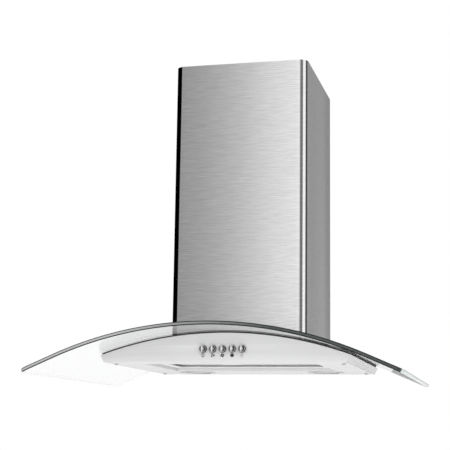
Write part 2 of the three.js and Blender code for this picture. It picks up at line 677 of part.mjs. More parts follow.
// Air chamber: open below over the body's neck, with hanging slots and the outlet hole.
function fanBox() {
  const bottom = BODY_BOTTOM;
  const outer = block([-BOX_HALF, BOX_HALF], [BOX_FRONT, BOX_BACK], [bottom, BOX_TOP]);
  const inner = block(
    [-BOX_HALF + SHEET, BOX_HALF - SHEET],
    [BOX_FRONT + SHEET, BOX_BACK - SHEET],
    [bottom - 1, BOX_TOP - SHEET],
  );
  const below = underArch(DECK_RADIUS + SEAT, BOX_HALF + 10, bottom - 5, [BOX_FRONT - 5, 5]);
  const roof = [BOX_TOP - 5, BOX_TOP + 5];
  const outlet = rod('z', COLLAR_RADIUS - COLLAR_WALL, roof, [0, COLLAR_Y], BORE_SIDES);
  const keyholes = [-KEYHOLE_X, KEYHOLE_X].flatMap((x) => {
    const through = [BOX_BACK - 5, BOX_BACK + 5];
    const level = BOX_TOP - KEYHOLE_DROP;
    const width = [x - KEYHOLE_NECK / 2, x + KEYHOLE_NECK / 2];
    const round = rod('y', KEYHOLE_RADIUS, through, [x, level], CAN_SIDES);
    return [round, block(width, through, [level, level + KEYHOLE_SLOT])];
  });
  const cableHole = rod('z', CABLE_HOLE_RADIUS, roof, CABLE_HOLE, HOLE_SIDES);
  const collarHoles = collarScrewPlaces().map(([x, y]) =>
    rod('z', SCREW_RADIUS + SEAT, roof, [x, COLLAR_Y + y], HOLE_SIDES));
  return cut(outer, [inner, below, outlet, cableHole, ...keyholes, ...collarHoles, ...boxScrewHoles()]);
}

// ---------------------------------------------------------------- blower, about its shaft

// Spiral in the y, z plane, then the outlet straight up along its front.
function scrollOutline(offset, top) {
  const first = SCROLL_TONGUE;
  const last = -180;
  const points = [];
  for (let angle = first; angle >= last; angle -= SCROLL_STEP) {
    const share = (first - angle) / (first - last);
    const radius = THREE.MathUtils.lerp(SCROLL_START_RADIUS, SCROLL_END_RADIUS, share) + offset;
    const turn = THREE.MathUtils.degToRad(angle);
    points.push([radius * Math.cos(turn), radius * Math.sin(turn)]);
  }
  points.push([-SCROLL_END_RADIUS - offset, top], [OUTLET_BACK + offset, top]);
  return outlineOf(points.reverse());
}

function blowerScroll() {
  const half = SCROLL_HALF;
  const wall = SCROLL_WALL;
  const outer = prism('x', scrollOutline(wall, SCROLL_TOP), [-half, half]);
  const inner = prism('x', scrollOutline(0, SCROLL_TOP + 5), [-half + wall, half - wall]);
  const flange = block(
    [-half - SCROLL_FLANGE, half + SCROLL_FLANGE],
    [-SCROLL_END_RADIUS - SCROLL_FLANGE, OUTLET_BACK + SCROLL_FLANGE],
    [SCROLL_TOP - wall, SCROLL_TOP],
  );
  const mouths = [-1, 1].map((side) => {
    const lip = [
      [INLET_RADIUS, half - wall],
      [INLET_RADIUS + INLET_LIP - wall, half - wall / 2],
      [INLET_RADIUS + INLET_LIP, half + INLET_LIP - 1],
      [INLET_RADIUS + INLET_LIP - wall, half + INLET_LIP - 1],
      [INLET_RADIUS, half - wall],
    ];
    return turned('x', lip.map(([radius, x]) => [radius, side * x]), BORE_SIDES);
  });
  const inlet = rod('x', INLET_RADIUS, [-half - 10, half + 10], [0, 0], BORE_SIDES);
  const whole = outer.add(flange).subtract(inner);
  const screws = collarScrewPlaces().map(([x, y]) => {
    const place = [x, COLLAR_Y + y - SCROLL_Y];
    return rod('z', SCREW_RADIUS + SEAT, [SCROLL_TOP - 5, SCROLL_TOP + 5], place, HOLE_SIDES);
  });
  const feet = mountFeet().map(([y, z]) =>
    rod('x', SCREW_RADIUS + SEAT, [-half - 5, -half + 5], [y, z], HOLE_SIDES));
  return cut(whole.subtract(inlet).add(mouths[0]).add(mouths[1]), [...screws, ...feet]);
}

// One forward-curved blade, from its root to its tip, at the top of the wheel.
function bladeOutline() {
  const steps = 2;
  const ahead = [];
  const behind = [];
  for (let k = 0; k <= steps; k += 1) {
    const share = k / steps;
    const radius = IMPELLER_RADIUS - BLADE_DEPTH * (1 - share);
    const lean = THREE.MathUtils.degToRad(BLADE_CURL) * share * share;
    const half = BLADE_THICKNESS / 2 / radius;
    ahead.push([radius * Math.sin(-lean - half), radius * Math.cos(-lean - half)]);
    behind.push([radius * Math.sin(-lean + half), radius * Math.cos(-lean + half)]);
  }
  return [...ahead, ...behind.reverse()];
}

function impeller() {
  const root = IMPELLER_RADIUS - BLADE_DEPTH;
  const blade = bladeOutline();
  const blades = [];
  for (let k = 0; k < BLADE_COUNT; k += 1) {
    const turn = (2 * Math.PI * k) / BLADE_COUNT;
    const outline = blade.map(([y, z]) => [
      y * Math.cos(turn) - z * Math.sin(turn),
      y * Math.sin(turn) + z * Math.cos(turn),
    ]);
    blades.push(prism('x', outlineOf(outline), [-IMPELLER_HALF + 1, IMPELLER_HALF - 1]));
  }
  const rings = [-IMPELLER_HALF, IMPELLER_HALF - WHEEL_RING].map((x) => {
    const profile = [
      [root, x],
      [IMPELLER_RADIUS + 1, x],
      [IMPELLER_RADIUS + 1, x + WHEEL_RING],
      [root, x + WHEEL_RING],
      [root, x],
    ];
    return turned('x', profile, BLADE_COUNT);
  });
  const bore = SHAFT_RADIUS + SEAT;
  const plate = [
    [bore, -HUB_HALF],
    [HUB_RADIUS, -HUB_HALF],
    [HUB_RADIUS + 2, -2],
    [root + 3, -1.2],
    [root + 3, 1.2],
    [HUB_RADIUS + 2, 2],
    [HUB_RADIUS, HUB_HALF],
    [bore, HUB_HALF],
    [bore, -HUB_HALF],
  ];
  return join([turned('x', plate, BLADE_COUNT), ...blades, ...rings]);
}

function impellerNut() {
  const start = HUB_HALF + SEAT;
  const hex = rod('x', NUT_RADIUS, [start, start + NUT_LENGTH], [0, 0], 6);
  const bore = rod('x', SHAFT_RADIUS + SEAT, [start - 1, start + NUT_LENGTH + 1], [0, 0], CAP_SIDES);
  return hex.subtract(bore);
}

function motorShaft() {
  const end = HUB_HALF + SEAT + NUT_LENGTH + 2;
  return rod('x', SHAFT_RADIUS, [MOTOR_BACK - 3, end], [0, 0], CAP_SIDES);
}

// Motor: a closed can with stepped end bells around the shaft.
function motor() {
  const bore = SHAFT_RADIUS + SEAT;
  const bell = [
    [bore, 0],
    [MOTOR_BOSS, 0],
    [MOTOR_BOSS + 1, MOTOR_BELL / 3],
    [MOTOR_RADIUS * 0.8, MOTOR_BELL / 2],
    [MOTOR_RADIUS, MOTOR_BELL],
  ];
  const rear = bell.map(([radius, x]) => [radius, MOTOR_BACK + x]);
  const front = bell.map(([radius, x]) => [radius, MOTOR_FRONT - x]).reverse();
  return turned('x', [...rear, ...front, rear[0]], CAN_SIDES);
}

function mountFeet() {
  return MOUNT_ANGLES.map((angle) => {
    const turn = THREE.MathUtils.degToRad(angle);
    return [MOUNT_REACH * Math.cos(turn), MOUNT_REACH * Math.sin(turn)];
  });
}

// Bracket: a ring around the motor and three arms to the side of the scroll.
function motorBracket() {
  const armBack = -SCROLL_HALF - MOUNT_STANDOFF;
  const armFront = armBack + MOUNT_SHEET;
  const footFace = -SCROLL_HALF - SEAT;
  const arm = MOUNT_ARM / 2;
  const arms = MOUNT_ANGLES.map((angle) => {
    const bar = block([armBack, armFront], [MOTOR_RADIUS, MOUNT_REACH], [-arm, arm]);
    return bar.rotate([angle, 0, 0]);
  });
  const pads = mountFeet().map(([y, z]) => rod('x', arm, [armBack, footFace], [y, z], HOLE_SIDES));
  const grip = 4; // of the ring, each side of the arms
  const ring = rod('x', MOTOR_RADIUS + MOUNT_RING, [armBack - grip, armFront + grip], [0, 0], CAN_SIDES);
  const bore = rod('x', MOTOR_RADIUS + SEAT, [armBack - 10, armFront + 10], [0, 0], CAN_SIDES);
  const screws = mountFeet().map((foot) =>
    rod('x', SCREW_RADIUS + SEAT, [armBack - 5, 0], foot, HOLE_SIDES));
  return cut(join([ring, ...arms, ...pads]), [bore, ...screws]);
}

// ---------------------------------------------------------------- collar, about its middle on the fan box

function collarScrewPlaces() {
  const signs = [[-1, -1], [1, -1], [-1, 1], [1, 1]];
  return signs.map(([sx, sy]) => [sx * COLLAR_SCREW_X, sy * COLLAR_SCREW_Y]);
}

function outletCollar() {
  const inner = COLLAR_RADIUS - COLLAR_WALL;
  const base = SEAT;
  const top = base + COLLAR_HEIGHT;
  const ledgeTop = FLAP_HEIGHT - FLAP_THICKNESS / 2 - SEAT;
  const flange = prism(
    'z',
    roundedRectangle([-COLLAR_FLANGE_X, COLLAR_FLANGE_X], [-COLLAR_FLANGE_Y, COLLAR_FLANGE_Y], 6),
    [base, base + COLLAR_FLANGE_THICKNESS],
    2,
  );
  const spigot = [
    [inner, base],
    [COLLAR_RADIUS, base],
    [COLLAR_RADIUS, top],
    [inner, top],
    [inner, ledgeTop],
    [inner - COLLAR_LEDGE, ledgeTop],
    [inner, ledgeTop - COLLAR_LEDGE - 1],
    [inner, base],
  ];
  const barTop = FLAP_HEIGHT - FLAP_BARREL - SEAT;
  const barReach = inner + COLLAR_WALL / 3;
  const bar = block([-barReach, barReach], [-COLLAR_BAR / 2, COLLAR_BAR / 2], [barTop - 5, barTop]);
  const bore = rod('z', inner, [base - 1, base + COLLAR_FLANGE_THICKNESS + 1], [0, 0], BORE_SIDES);
  const across = [-COLLAR_RADIUS - 1, COLLAR_RADIUS + 1];
  const pinHoles = [-1, 1].map((side) =>
    rod('x', FLAP_PIN + SEAT, across, [side * FLAP_HINGE_Y, FLAP_HEIGHT], HOLE_SIDES));
  const screws = collarScrewPlaces().map(([x, y]) =>
    rod('z', SCREW_RADIUS + SEAT, [base - 1, base + COLLAR_FLANGE_THICKNESS + 1], [x, y], HOLE_SIDES));
  const body = join([flange.subtract(bore), turned('z', spigot, BORE_SIDES), bar]);
  return cut(body, [...pinHoles, ...screws]);
}

// A half disc on a barrel with two pins, hinged about its local X axis and lying towards +Y.
function damperFlap() {
  const radius = COLLAR_RADIUS - COLLAR_WALL - FLAP_GAP;
  const disc = rod('z', radius, [-FLAP_THICKNESS / 2, FLAP_THICKNESS / 2], [0, -FLAP_HINGE_Y], BORE_SIDES);
  const behind = block([-radius - 1, radius + 1], [-2 * radius - 5, 0], [-5, 5]);
  const barrelHalf = radius - COLLAR_LEDGE + 0.5; // clear of the ledge
  const barrel = rod('x', FLAP_BARREL, [-barrelHalf, barrelHalf], [0, 0], HOLE_SIDES);
  const pinReach = COLLAR_RADIUS - SEAT;
  const pin = rod('x', FLAP_PIN, [-pinReach, pinReach], [0, 0], HOLE_SIDES);
  return join([disc.subtract(behind), barrel, pin]);
}

// ---------------------------------------------------------------- grease filter, about its hinge

function filterFrame() {
  const top = FRAME_UNDER + FRAME_HEIGHT;
  const outer = block([-FRAME_HALF, FRAME_HALF], [FRAME_FRONT, FRAME_BACK], [FRAME_UNDER, top]);
  const window = block(
    [-FRAME_HALF + FRAME_BAR, FRAME_HALF - FRAME_BAR],
    [FRAME_FRONT + FRAME_BAR, FRAME_BACK - FRAME_BAR],
    [FRAME_UNDER - 1, top + 1],
  );
  const channel = block(
    [-FRAME_HALF + FRAME_WALL, FRAME_HALF - FRAME_WALL],
    [FRAME_FRONT + FRAME_WALL, FRAME_BACK - FRAME_HINGE_WALL],
    [FRAME_UNDER + FRAME_SKIN, top - FRAME_SKIN],
  );
  const pinReach = FILTER_HALF + SHEET - SEAT;
  const pins = [-1, 1].map((side) => {
    const reach = [side * (FRAME_HALF - 2), side * pinReach].sort((a, b) => a - b);
    return rod('x', FILTER_PIN, reach, [0, 0], HOLE_SIDES);
  });
  const slots = latchPostPlaces().map(([x, y]) => {
    const half = LATCH_POST_RADIUS + SEAT;
    const shape = roundedRectangle([x - half, x + half], [y - half, y + LATCH_STROKE + half], half - 0.01);
    return prism('z', shape, [FRAME_UNDER - 1, FRAME_UNDER + FRAME_SKIN + 0.5], 2);
  });
  return join([cut(outer, [window, channel, ...slots]), ...pins]);
}

// Expanded aluminium mesh: staggered diamonds in a plain border.
function filterMesh() {
  const half = FRAME_HALF - FRAME_WALL - SEAT;
  const front = FRAME_FRONT + FRAME_WALL + SEAT;
  const back = FRAME_BACK - FRAME_HINGE_WALL - SEAT;
  const middle = FRAME_UNDER + FRAME_HEIGHT / 2 + 2 * SEAT; // clear of the latch's posts
  const level = [middle - MESH_THICKNESS / 2, middle + MESH_THICKNESS / 2];
  const sheet = block([-half, half], [front, back], level);
  const pitchX = (2 * half - 2 * MESH_BORDER) / MESH_COLUMNS;
  const pitchY = (back - front - 2 * MESH_BORDER) / MESH_ROWS;
  const diamonds = [];
  const addDiamond = (x, y) => {
    const a = pitchX / 2 - MESH_RIB / 2;
    const b = pitchY / 2 - MESH_RIB / 2;
    const outline = outlineOf([[x - a, y], [x, y - b], [x + a, y], [x, y + b]]);
    diamonds.push(prism('z', outline, [level[0] - 1, level[1] + 1]));
  };
  for (let i = 0; i < MESH_COLUMNS; i += 1) {
    for (let j = 0; j < MESH_ROWS; j += 1) {
      const x = -half + MESH_BORDER + (i + 0.5) * pitchX;
      const y = front + MESH_BORDER + (j + 0.5) * pitchY;
      addDiamond(x, y);
      if (i < MESH_COLUMNS - 1 && j < MESH_ROWS - 1) addDiamond(x + pitchX / 2, y + pitchY / 2);
    }
  }
  return cut(sheet, [join(diamonds)]);
}

function latchPostPlaces() {
  return [-LATCH_POST_X, LATCH_POST_X].map((x) => [x, FRAME_FRONT + LATCH_POST_INSET]);
}

// Latch: a sliding plate under the front bar, with a tongue, a finger tab and two headed posts.
function filterLatch() {
  const top = FRAME_UNDER - SEAT;
  const low = top - LATCH_THICKNESS;
  const front = FILTER_FRONT - HINGE_Y + 0.4;
  const back = FRAME_FRONT + FRAME_BAR + 8;
  const plate = block([-LATCH_HALF, LATCH_HALF], [FRAME_FRONT + 1, back], [low, top]);
  const tongue = block([-LATCH_TONGUE, LATCH_TONGUE], [front, FRAME_FRONT + 3], [low, top]);
  const tabHalf = LATCH_HALF - 4;
  const tab = block([-tabHalf, tabHalf], [back - LATCH_THICKNESS, back], [low - LATCH_TAB, low + 0.5]);
  const head = FRAME_UNDER + FRAME_SKIN + SEAT;
  const posts = latchPostPlaces().flatMap(([x, y]) => [
    rod('z', LATCH_POST_RADIUS, [low + 0.5, head + 1], [x, y], HOLE_SIDES),
    rod('z', LATCH_POST_RADIUS + 1, [head, head + 1], [x, y], HOLE_SIDES),
  ]);
  return join([plate, tongue, tab, ...posts]);
}

// ---------------------------------------------------------------- controls

function buttonPlaces() {
  return Array.from({ length: BUTTON_COUNT }, (_, k) => (k - (BUTTON_COUNT - 1) / 2) * BUTTON_PITCH);
}

// A cap with a rolled rim and a dished front, on a stem; it points to -Y from the fascia's front.
function pushButton() {
  const capBack = -SHEET - 1;
  const stemBack = -SHEET - SWITCH_FRONT - STEM_DEPTH;
  const inner = BUTTON_RADIUS - BUTTON_ROLL;
  const profile = [
    [0, stemBack],
    [STEM_RADIUS, stemBack],
    [STEM_RADIUS, capBack],
    [BUTTON_RADIUS, capBack],
    [BUTTON_RADIUS, BUTTON_PROUD - BUTTON_ROLL],
    [BUTTON_RADIUS - BUTTON_ROLL * 0.3, BUTTON_PROUD - BUTTON_ROLL * 0.3],
    [inner, BUTTON_PROUD],
    [inner * 0.5, BUTTON_PROUD - BUTTON_DISH * 0.75],
    [0, BUTTON_PROUD - BUTTON_DISH],
  ];
  const points = profile.map(([radius, height]) => new THREE.Vector2(radius, height));
  const geometry = new THREE.LatheGeometry(points, CAP_SIDES);
  geometry.rotateX(Math.PI);
  return toSolid(geometry);
}

function switchBlock() {
  const front = FASCIA_BACK + SWITCH_FRONT;
  const back = front + SWITCH_DEPTH;
  const half = ((BUTTON_COUNT - 1) / 2) * BUTTON_PITCH + SWITCH_SIDE;
  const level = [BUTTON_HEIGHT - SWITCH_HALF_HEIGHT, BUTTON_HEIGHT + SWITCH_HALF_HEIGHT];
  const body = block([-half, half], [front, back], level);
  const feet = [-1, 1].map((side) => {
    const reach = [side * (half - 2), side * (half + SWITCH_FOOT)].sort((a, b) => a - b);
    return block(reach, [FASCIA_BACK + SEAT, front + 6], [level[0] + 4, level[1] - 4]);
  });
  const tags = buttonPlaces().map((x) =>
    block([x - 1, x + 1], [back - 1, back + 5], [BUTTON_HEIGHT - 4, BUTTON_HEIGHT + 4]));
  const boreDepth = [front - 1, front + STEM_DEPTH + 2 * BUTTON_STROKE];
  const bores = buttonPlaces().map((x) =>
    rod('y', STEM_RADIUS + SEAT, boreDepth, [x, BUTTON_HEIGHT], CAP_SIDES));
  return cut(join([body, ...feet, ...tags]), bores);
}

// ---------------------------------------------------------------- lamps and electrics

// Lamp housing about its hole's middle on the panel's underside: flange, sleeve and closed can.
function lampHousing() {
  const sleeve = LAMP_HOLE_RADIUS - SEAT;
  const mouth = LENS_RADIUS - LENS_EDGE;
  const hollow = LENS_RADIUS + SEAT;
  const profile = [
    [mouth, -LAMP_FLANGE_DROP],
    [LAMP_FLANGE_RADIUS, -LAMP_FLANGE_DROP],
    [LAMP_FLANGE_RADIUS, -SEAT],
    [sleeve, -SEAT],
    [sleeve, LAMP_SLEEVE_TOP],
    [LAMP_CAN_RADIUS, LAMP_CAN_HEIGHT],
    [0, LAMP_CAN_HEIGHT],
    [0, LAMP_CAN_HEIGHT - LAMP_WALL],
    [LAMP_CAN_RADIUS - LAMP_WALL, LAMP_CAN_HEIGHT - LAMP_WALL],
    [hollow, LAMP_SLEEVE_TOP - 1],
    [hollow, -LENS_DROP],
    [mouth, -LENS_DROP],
    [mouth, -LAMP_FLANGE_DROP],
  ];
  return turned('z', profile, CAN_SIDES);
}

function lampLens() {
  const low = SEAT - LENS_DROP;
  const profile = [
    [0, low],
    [LENS_RADIUS, low],
    [LENS_RADIUS, low + LENS_EDGE],
    [LENS_RADIUS - 2, low + LENS_THICKNESS],
    [0, low + LENS_THICKNESS],
  ];
  return turned('z', profile, CAN_SIDES);
}

// A closed box with a lid; step is positive for a lid that stands out over the sides.
function liddedBox([x0, x1], [y0, y1], level, height, step) {
  const corner = 3;
  const base = roundedRectangle([x0, x1], [y0, y1], corner);
  const lid = roundedRectangle([x0 - step, x1 + step], [y0 - step, y1 + step], corner);
  const top = level + height;
  return prism('z', base, [level, top], 2).add(prism('z', lid, [top - 1, top + LID_HEIGHT], 2));
}

function lampDriver() {
  const level = PANEL_TOP + SEAT;
  const middle = (DRIVER_Y[0] + DRIVER_Y[1]) / 2;
  const reach = [DRIVER_X[0] - DRIVER_EAR, DRIVER_X[1] + DRIVER_EAR];
  const ears = block(reach, [middle - DRIVER_EAR, middle + DRIVER_EAR], [level, level + 2]);
  return liddedBox(DRIVER_X, DRIVER_Y, level, DRIVER_HEIGHT, -LID_STEP).add(ears);
}

// Middle of the gland, in y and z.
function glandPlace() {
  return [(TERMINAL_Y[0] + TERMINAL_Y[1]) / 2, BOX_TOP + SEAT + TERMINAL_HEIGHT / 2];
}

function terminalBox() {
  const wall = TERMINAL_X[0];
  const glandHole = rod('x', GLAND_NECK + SEAT, [wall - 10, wall + 8], glandPlace(), CAP_SIDES);
  const box = liddedBox(TERMINAL_X, TERMINAL_Y, BOX_TOP + SEAT, TERMINAL_HEIGHT, LID_STEP);
  return box.subtract(glandHole);
}

// Gland: a neck in the box's wall, a hexagon on it and a round clamping cap.
function cableGland() {
  const middle = glandPlace();
  const wall = TERMINAL_X[0];
  const parts = [
    rod('x', GLAND_NECK, [wall - 1, wall + 7], middle, CAP_SIDES),
    rod('x', GLAND_HEX, [wall - 5, wall - SEAT], middle, 6),
    rod('x', GLAND_CAP, [wall - 11, wall - 5], middle, CAP_SIDES),
  ];
  return join(parts).subtract(rod('x', CORD_RADIUS, [wall - 20, wall + 4], middle, CAP_SIDES));
}

function capacitor() {
  const level = BOX_TOP + SEAT;
  const profile = [
    [0, level],
    [CAPACITOR_BASE, level],
    [CAPACITOR_BASE, level + 2],
    [CAPACITOR_RADIUS, level + 3],
    [CAPACITOR_RADIUS, level + CAPACITOR_HEIGHT - 2],
    [4, level + CAPACITOR_HEIGHT],
    [4, level + CAPACITOR_HEIGHT + 4],
    [0, level + CAPACITOR_HEIGHT + 4],
  ];
  return turned('z', profile, CAN_SIDES).translate([CAPACITOR_X, CAPACITOR_Y, 0]);
}

// ---------------------------------------------------------------- fasteners

// A pan-head screw: head above the local origin, shank down along -Z.
function screw(length) {
  const head = SCREW_HEAD_RADIUS;
  const profile = [
    [0, -length],
    [SCREW_RADIUS, -length],
    [SCREW_RADIUS, SEAT],
    [head, SEAT],
    [head, SEAT + SCREW_HEAD_HEIGHT * 0.5],
    [head * 0.6, SEAT + SCREW_HEAD_HEIGHT],
    [0, SEAT + SCREW_HEAD_HEIGHT],
  ];
  return turned('z', profile, HOLE_SIDES);
}

// Rubber spool in a hole of the glass, with z measured from the arch's centre.
function glassGrommet() {
  const sleeve = GLASS_HOLE_RADIUS - SEAT;
  const bore = SCREW_RADIUS + SEAT;
  const low = DECK_RADIUS + SEAT;
  const top = GLASS_RADIUS + GLASS_THICKNESS + SEAT;
  const profile = [
    [bore, low],
    [GROMMET_RADIUS, low],
    [GROMMET_RADIUS, GLASS_RADIUS - SEAT],
    [sleeve, GLASS_RADIUS - SEAT],
    [sleeve, top],
    [GROMMET_RADIUS, top],
    [GROMMET_RADIUS, top + GROMMET_RIM],
    [bore, top + GROMMET_RIM],
    [bore, low],
  ];
  return turned('z', profile, HOLE_SIDES);
}

// ---------------------------------------------------------------- assembly

const hood = new THREE.Group();

function place(parent, name, solid, material, position = [0, 0, 0], rotation = [0, 0, 0]) {
  const mesh = new THREE.Mesh(toGeometry(solid), material.clone());
  mesh.name = name;
  mesh.position.set(...position);
  mesh.rotation.set(...rotation);
  parent.add(mesh);
  return mesh;
}

function groupAt(position, rotation = [0, 0, 0]) {
  const group = new THREE.Group();
  group.position.set(...position);
  group.rotation.set(...rotation);
  hood.add(group);
  return group;
}

function addBody() {
  place(hood, 'body_case', bodyCase(), paintedSteel);
  place(hood, 'front_fascia', frontFascia(), paintedSteel);
  place(hood, 'bottom_panel', bottomPanel(), paintedSteel);
  panelScrewPlaces().forEach(([x, y], k) => {
    place(hood, `panel_screw_${k + 1}`, screw(SCREW_LENGTH), chrome, [x, y, BODY_BOTTOM], [Math.PI, 0, 0]);
  });
}

function addGlass() {
  place(hood, 'glass_canopy', glassCanopy(), clearGlass);
  place(hood, 'glass_seal', glassSeal(), blackRubber);
  const grommet = glassGrommet();
  const headSeat = GLASS_RADIUS + GLASS_THICKNESS + SEAT + GROMMET_RIM;
  const pin = screw(headSeat - DECK_RADIUS + SCREW_REACH);
  glassScrewPlaces().forEach(([x, y], k) => {
    const station = groupAt([0, y, ARCH_CENTRE], [0, Math.asin(x / GLASS_RADIUS), 0]);
    place(station, `glass_grommet_${k + 1}`, grommet, blackRubber);
    place(station, `glass_screw_${k + 1}`, pin, chrome, [0, 0, headSeat]);
  });
}

function addChimney() {
  place(hood, 'outer_chimney', outerChimney(), brushedSteel);
  place(hood, 'inner_chimney', innerChimney(), brushedSteel);
  place(hood, 'ceiling_bracket', ceilingBracket(), galvanised);
  place(hood, 'chimney_clip_left', chimneyClip(-1), galvanised);
  place(hood, 'chimney_clip_right', chimneyClip(1), galvanised);
}

function addFanBox() {
  place(hood, 'fan_box', fanBox(), galvanised);
  const pin = screw(SHORT_SCREW);
  let count = 0;
  for (const side of [-1, 1]) {
    for (const y of BOX_SCREW_ROWS) {
      count += 1;
      const turn = [0, (side * Math.PI) / 2, 0];
      place(hood, `box_screw_${count}`, pin, chrome, [side * BOX_HALF, y, BOX_SCREW_Z], turn);
    }
  }
}

function addBlower() {
  const blower = groupAt([0, SCROLL_Y, SCROLL_Z]);
  place(blower, 'blower_scroll', blowerScroll(), greyPlastic);
  place(blower, 'impeller', impeller(), blackPlastic);
  place(blower, 'impeller_nut', impellerNut(), chrome);
  place(blower, 'motor_shaft', motorShaft(), chrome);
  place(blower, 'motor', motor(), galvanised);
  place(blower, 'motor_bracket', motorBracket(), galvanised);
  mountFeet().forEach(([y, z], k) => {
    const head = -SCROLL_HALF - MOUNT_STANDOFF;
    place(blower, `bracket_screw_${k + 1}`, screw(LONG_SCREW), chrome, [head, y, z], [0, -Math.PI / 2, 0]);
  });
}

function addCollar() {
  const collar = groupAt([0, COLLAR_Y, BOX_TOP]);
  place(collar, 'outlet_collar', outletCollar(), blackPlastic);
  const flap = damperFlap();
  place(collar, 'damper_flap_rear', flap, blackPlastic, [0, FLAP_HINGE_Y, FLAP_HEIGHT]);
  place(collar, 'damper_flap_front', flap, blackPlastic, [0, -FLAP_HINGE_Y, FLAP_HEIGHT], [0, 0, Math.PI]);
  const pin = screw(SCREW_LENGTH);
  const headSeat = SEAT + COLLAR_FLANGE_THICKNESS;
  collarScrewPlaces().forEach(([x, y], k) => {
    place(collar, `collar_screw_${k + 1}`, pin, chrome, [x, y, headSeat]);
  });
}

function addFilter() {
  const filter = groupAt([0, HINGE_Y, HINGE_Z]);
  place(filter, 'filter_frame', filterFrame(), aluminium);
  place(filter, 'filter_mesh', filterMesh(), aluminium);
  place(filter, 'filter_latch', filterLatch(), aluminium);
}

function addControls() {
  const cap = pushButton();
  buttonPlaces().forEach((x, k) => {
    place(hood, `button_${k + 1}`, cap, chrome, [x, FRONT_FACE, BUTTON_HEIGHT]);
  });
  place(hood, 'switch_block', switchBlock(), blackPlastic);
}

function addElectrics() {
  const housing = lampHousing();
  const lens = lampLens();
  for (const [side, x] of [['left', -LAMP_X], ['right', LAMP_X]]) {
    place(hood, `lamp_housing_${side}`, housing, chrome, [x, LAMP_Y, BODY_BOTTOM]);
    place(hood, `lamp_lens_${side}`, lens, frostedLens, [x, LAMP_Y, BODY_BOTTOM]);
  }
  place(hood, 'lamp_driver', lampDriver(), blackPlastic);
  place(hood, 'terminal_box', terminalBox(), greyPlastic);
  place(hood, 'cable_gland', cableGland(), blackPlastic);
  place(hood, 'capacitor', capacitor(), aluminium);
}

addBody();
addGlass();
addChimney();
addFanBox();
addBlower();
addCollar();
addFilter();
addControls();
addElectrics();

export default hood;
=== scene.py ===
"""A wall hood in brushed steel with a curved glass canopy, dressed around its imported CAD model.

Lengths are millimetres in the CAD frame until solid() makes a mesh of them, which is in metres.
"""

import json
from math import asin, ceil, copysign, cos, degrees, pi, radians, sin, sqrt, tan

import bmesh
import bpy
from mathutils import Matrix, Vector
from mathutils.geometry import tessellate_polygon


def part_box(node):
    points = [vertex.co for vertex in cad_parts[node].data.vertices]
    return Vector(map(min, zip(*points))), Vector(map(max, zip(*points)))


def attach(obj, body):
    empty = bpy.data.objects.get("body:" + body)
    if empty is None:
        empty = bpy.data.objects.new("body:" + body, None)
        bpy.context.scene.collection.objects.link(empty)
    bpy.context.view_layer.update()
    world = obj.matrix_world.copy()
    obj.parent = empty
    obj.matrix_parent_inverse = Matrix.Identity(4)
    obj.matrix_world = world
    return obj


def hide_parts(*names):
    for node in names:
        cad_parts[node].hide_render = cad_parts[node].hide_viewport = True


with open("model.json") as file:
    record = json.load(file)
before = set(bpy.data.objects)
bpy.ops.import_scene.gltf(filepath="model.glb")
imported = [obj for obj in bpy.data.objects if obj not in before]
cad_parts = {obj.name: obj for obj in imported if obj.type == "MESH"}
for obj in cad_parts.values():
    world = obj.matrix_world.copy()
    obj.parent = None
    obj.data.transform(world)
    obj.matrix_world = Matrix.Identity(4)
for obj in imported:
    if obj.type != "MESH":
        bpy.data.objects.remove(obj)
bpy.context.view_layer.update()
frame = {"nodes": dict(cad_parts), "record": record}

MM = 0.001
FORWARD = Vector((0, -1, 0))  # out of the hood, towards the cook
RIGHT = Vector((1, 0, 0))

BODY_OF = {node: "root" for node in frame["nodes"]}
for body, members in frame["record"]["behaviour"]["bodies"].items():
    BODY_OF.update({node: body for node in members})


def with_settings(thing, **settings):
    for key, value in settings.items():
        setattr(thing, key, value)
    return thing


def box_mm(node):
    """A CAD node's lowest and highest corners, in millimetres."""
    low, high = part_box(node)
    return low / MM, high / MM


def middle_of(node):
    """The middle of a CAD node's box, then its lowest and highest corners."""
    low, high = box_mm(node)
    return (low + high) / 2, low, high


# ---- sizes that no box gives

ARCH_RADIUS = 615.0  # underside of the glass
ARCH_HALF = 242.0  # half width of the round stretch
GLASS_THICKNESS = 6.0
DECK_RADIUS = 612.8  # top of the body
BODY_HALF_BOTTOM = 200.0
BODY_HALF_TOP = 206.0
SHEET = 1.2  # the body's sheet
CHIMNEY_WALL = 1.0
CHIMNEY_CORNER = 15.0
CHIMNEY_RETURN = 14.0  # width of the folds at the wall
SEAT_GAP = 0.3  # between seated pieces
BUTTON_RADIUS = 5.5
GROMMETS = [f"glass_grommet_{k}" for k in range(1, 5)]

glass_low, glass_high = box_mm("glass_canopy")
fascia_low, fascia_high = box_mm("front_fascia")
BODY_BOTTOM = fascia_low.z
BODY_FRONT = fascia_low.y
ARCH_CENTRE = fascia_high.z - DECK_RADIUS
ARCH_TURN = asin(ARCH_HALF / ARCH_RADIUS)
STRIP = radians(1.25)  # facet angle of the bent sheets


# ---- outlines

def arc(centre, radius, start, end, steps):
    """Points on an arc, with angles in degrees."""
    angles = [radians(start + (end - start) * k / steps) for k in range(steps + 1)]
    return [(centre[0] + radius * cos(a), centre[1] + radius * sin(a)) for a in angles]


def circle(centre, radius, sides=48):
    return arc(centre, radius, 0, 360, sides)[:-1]


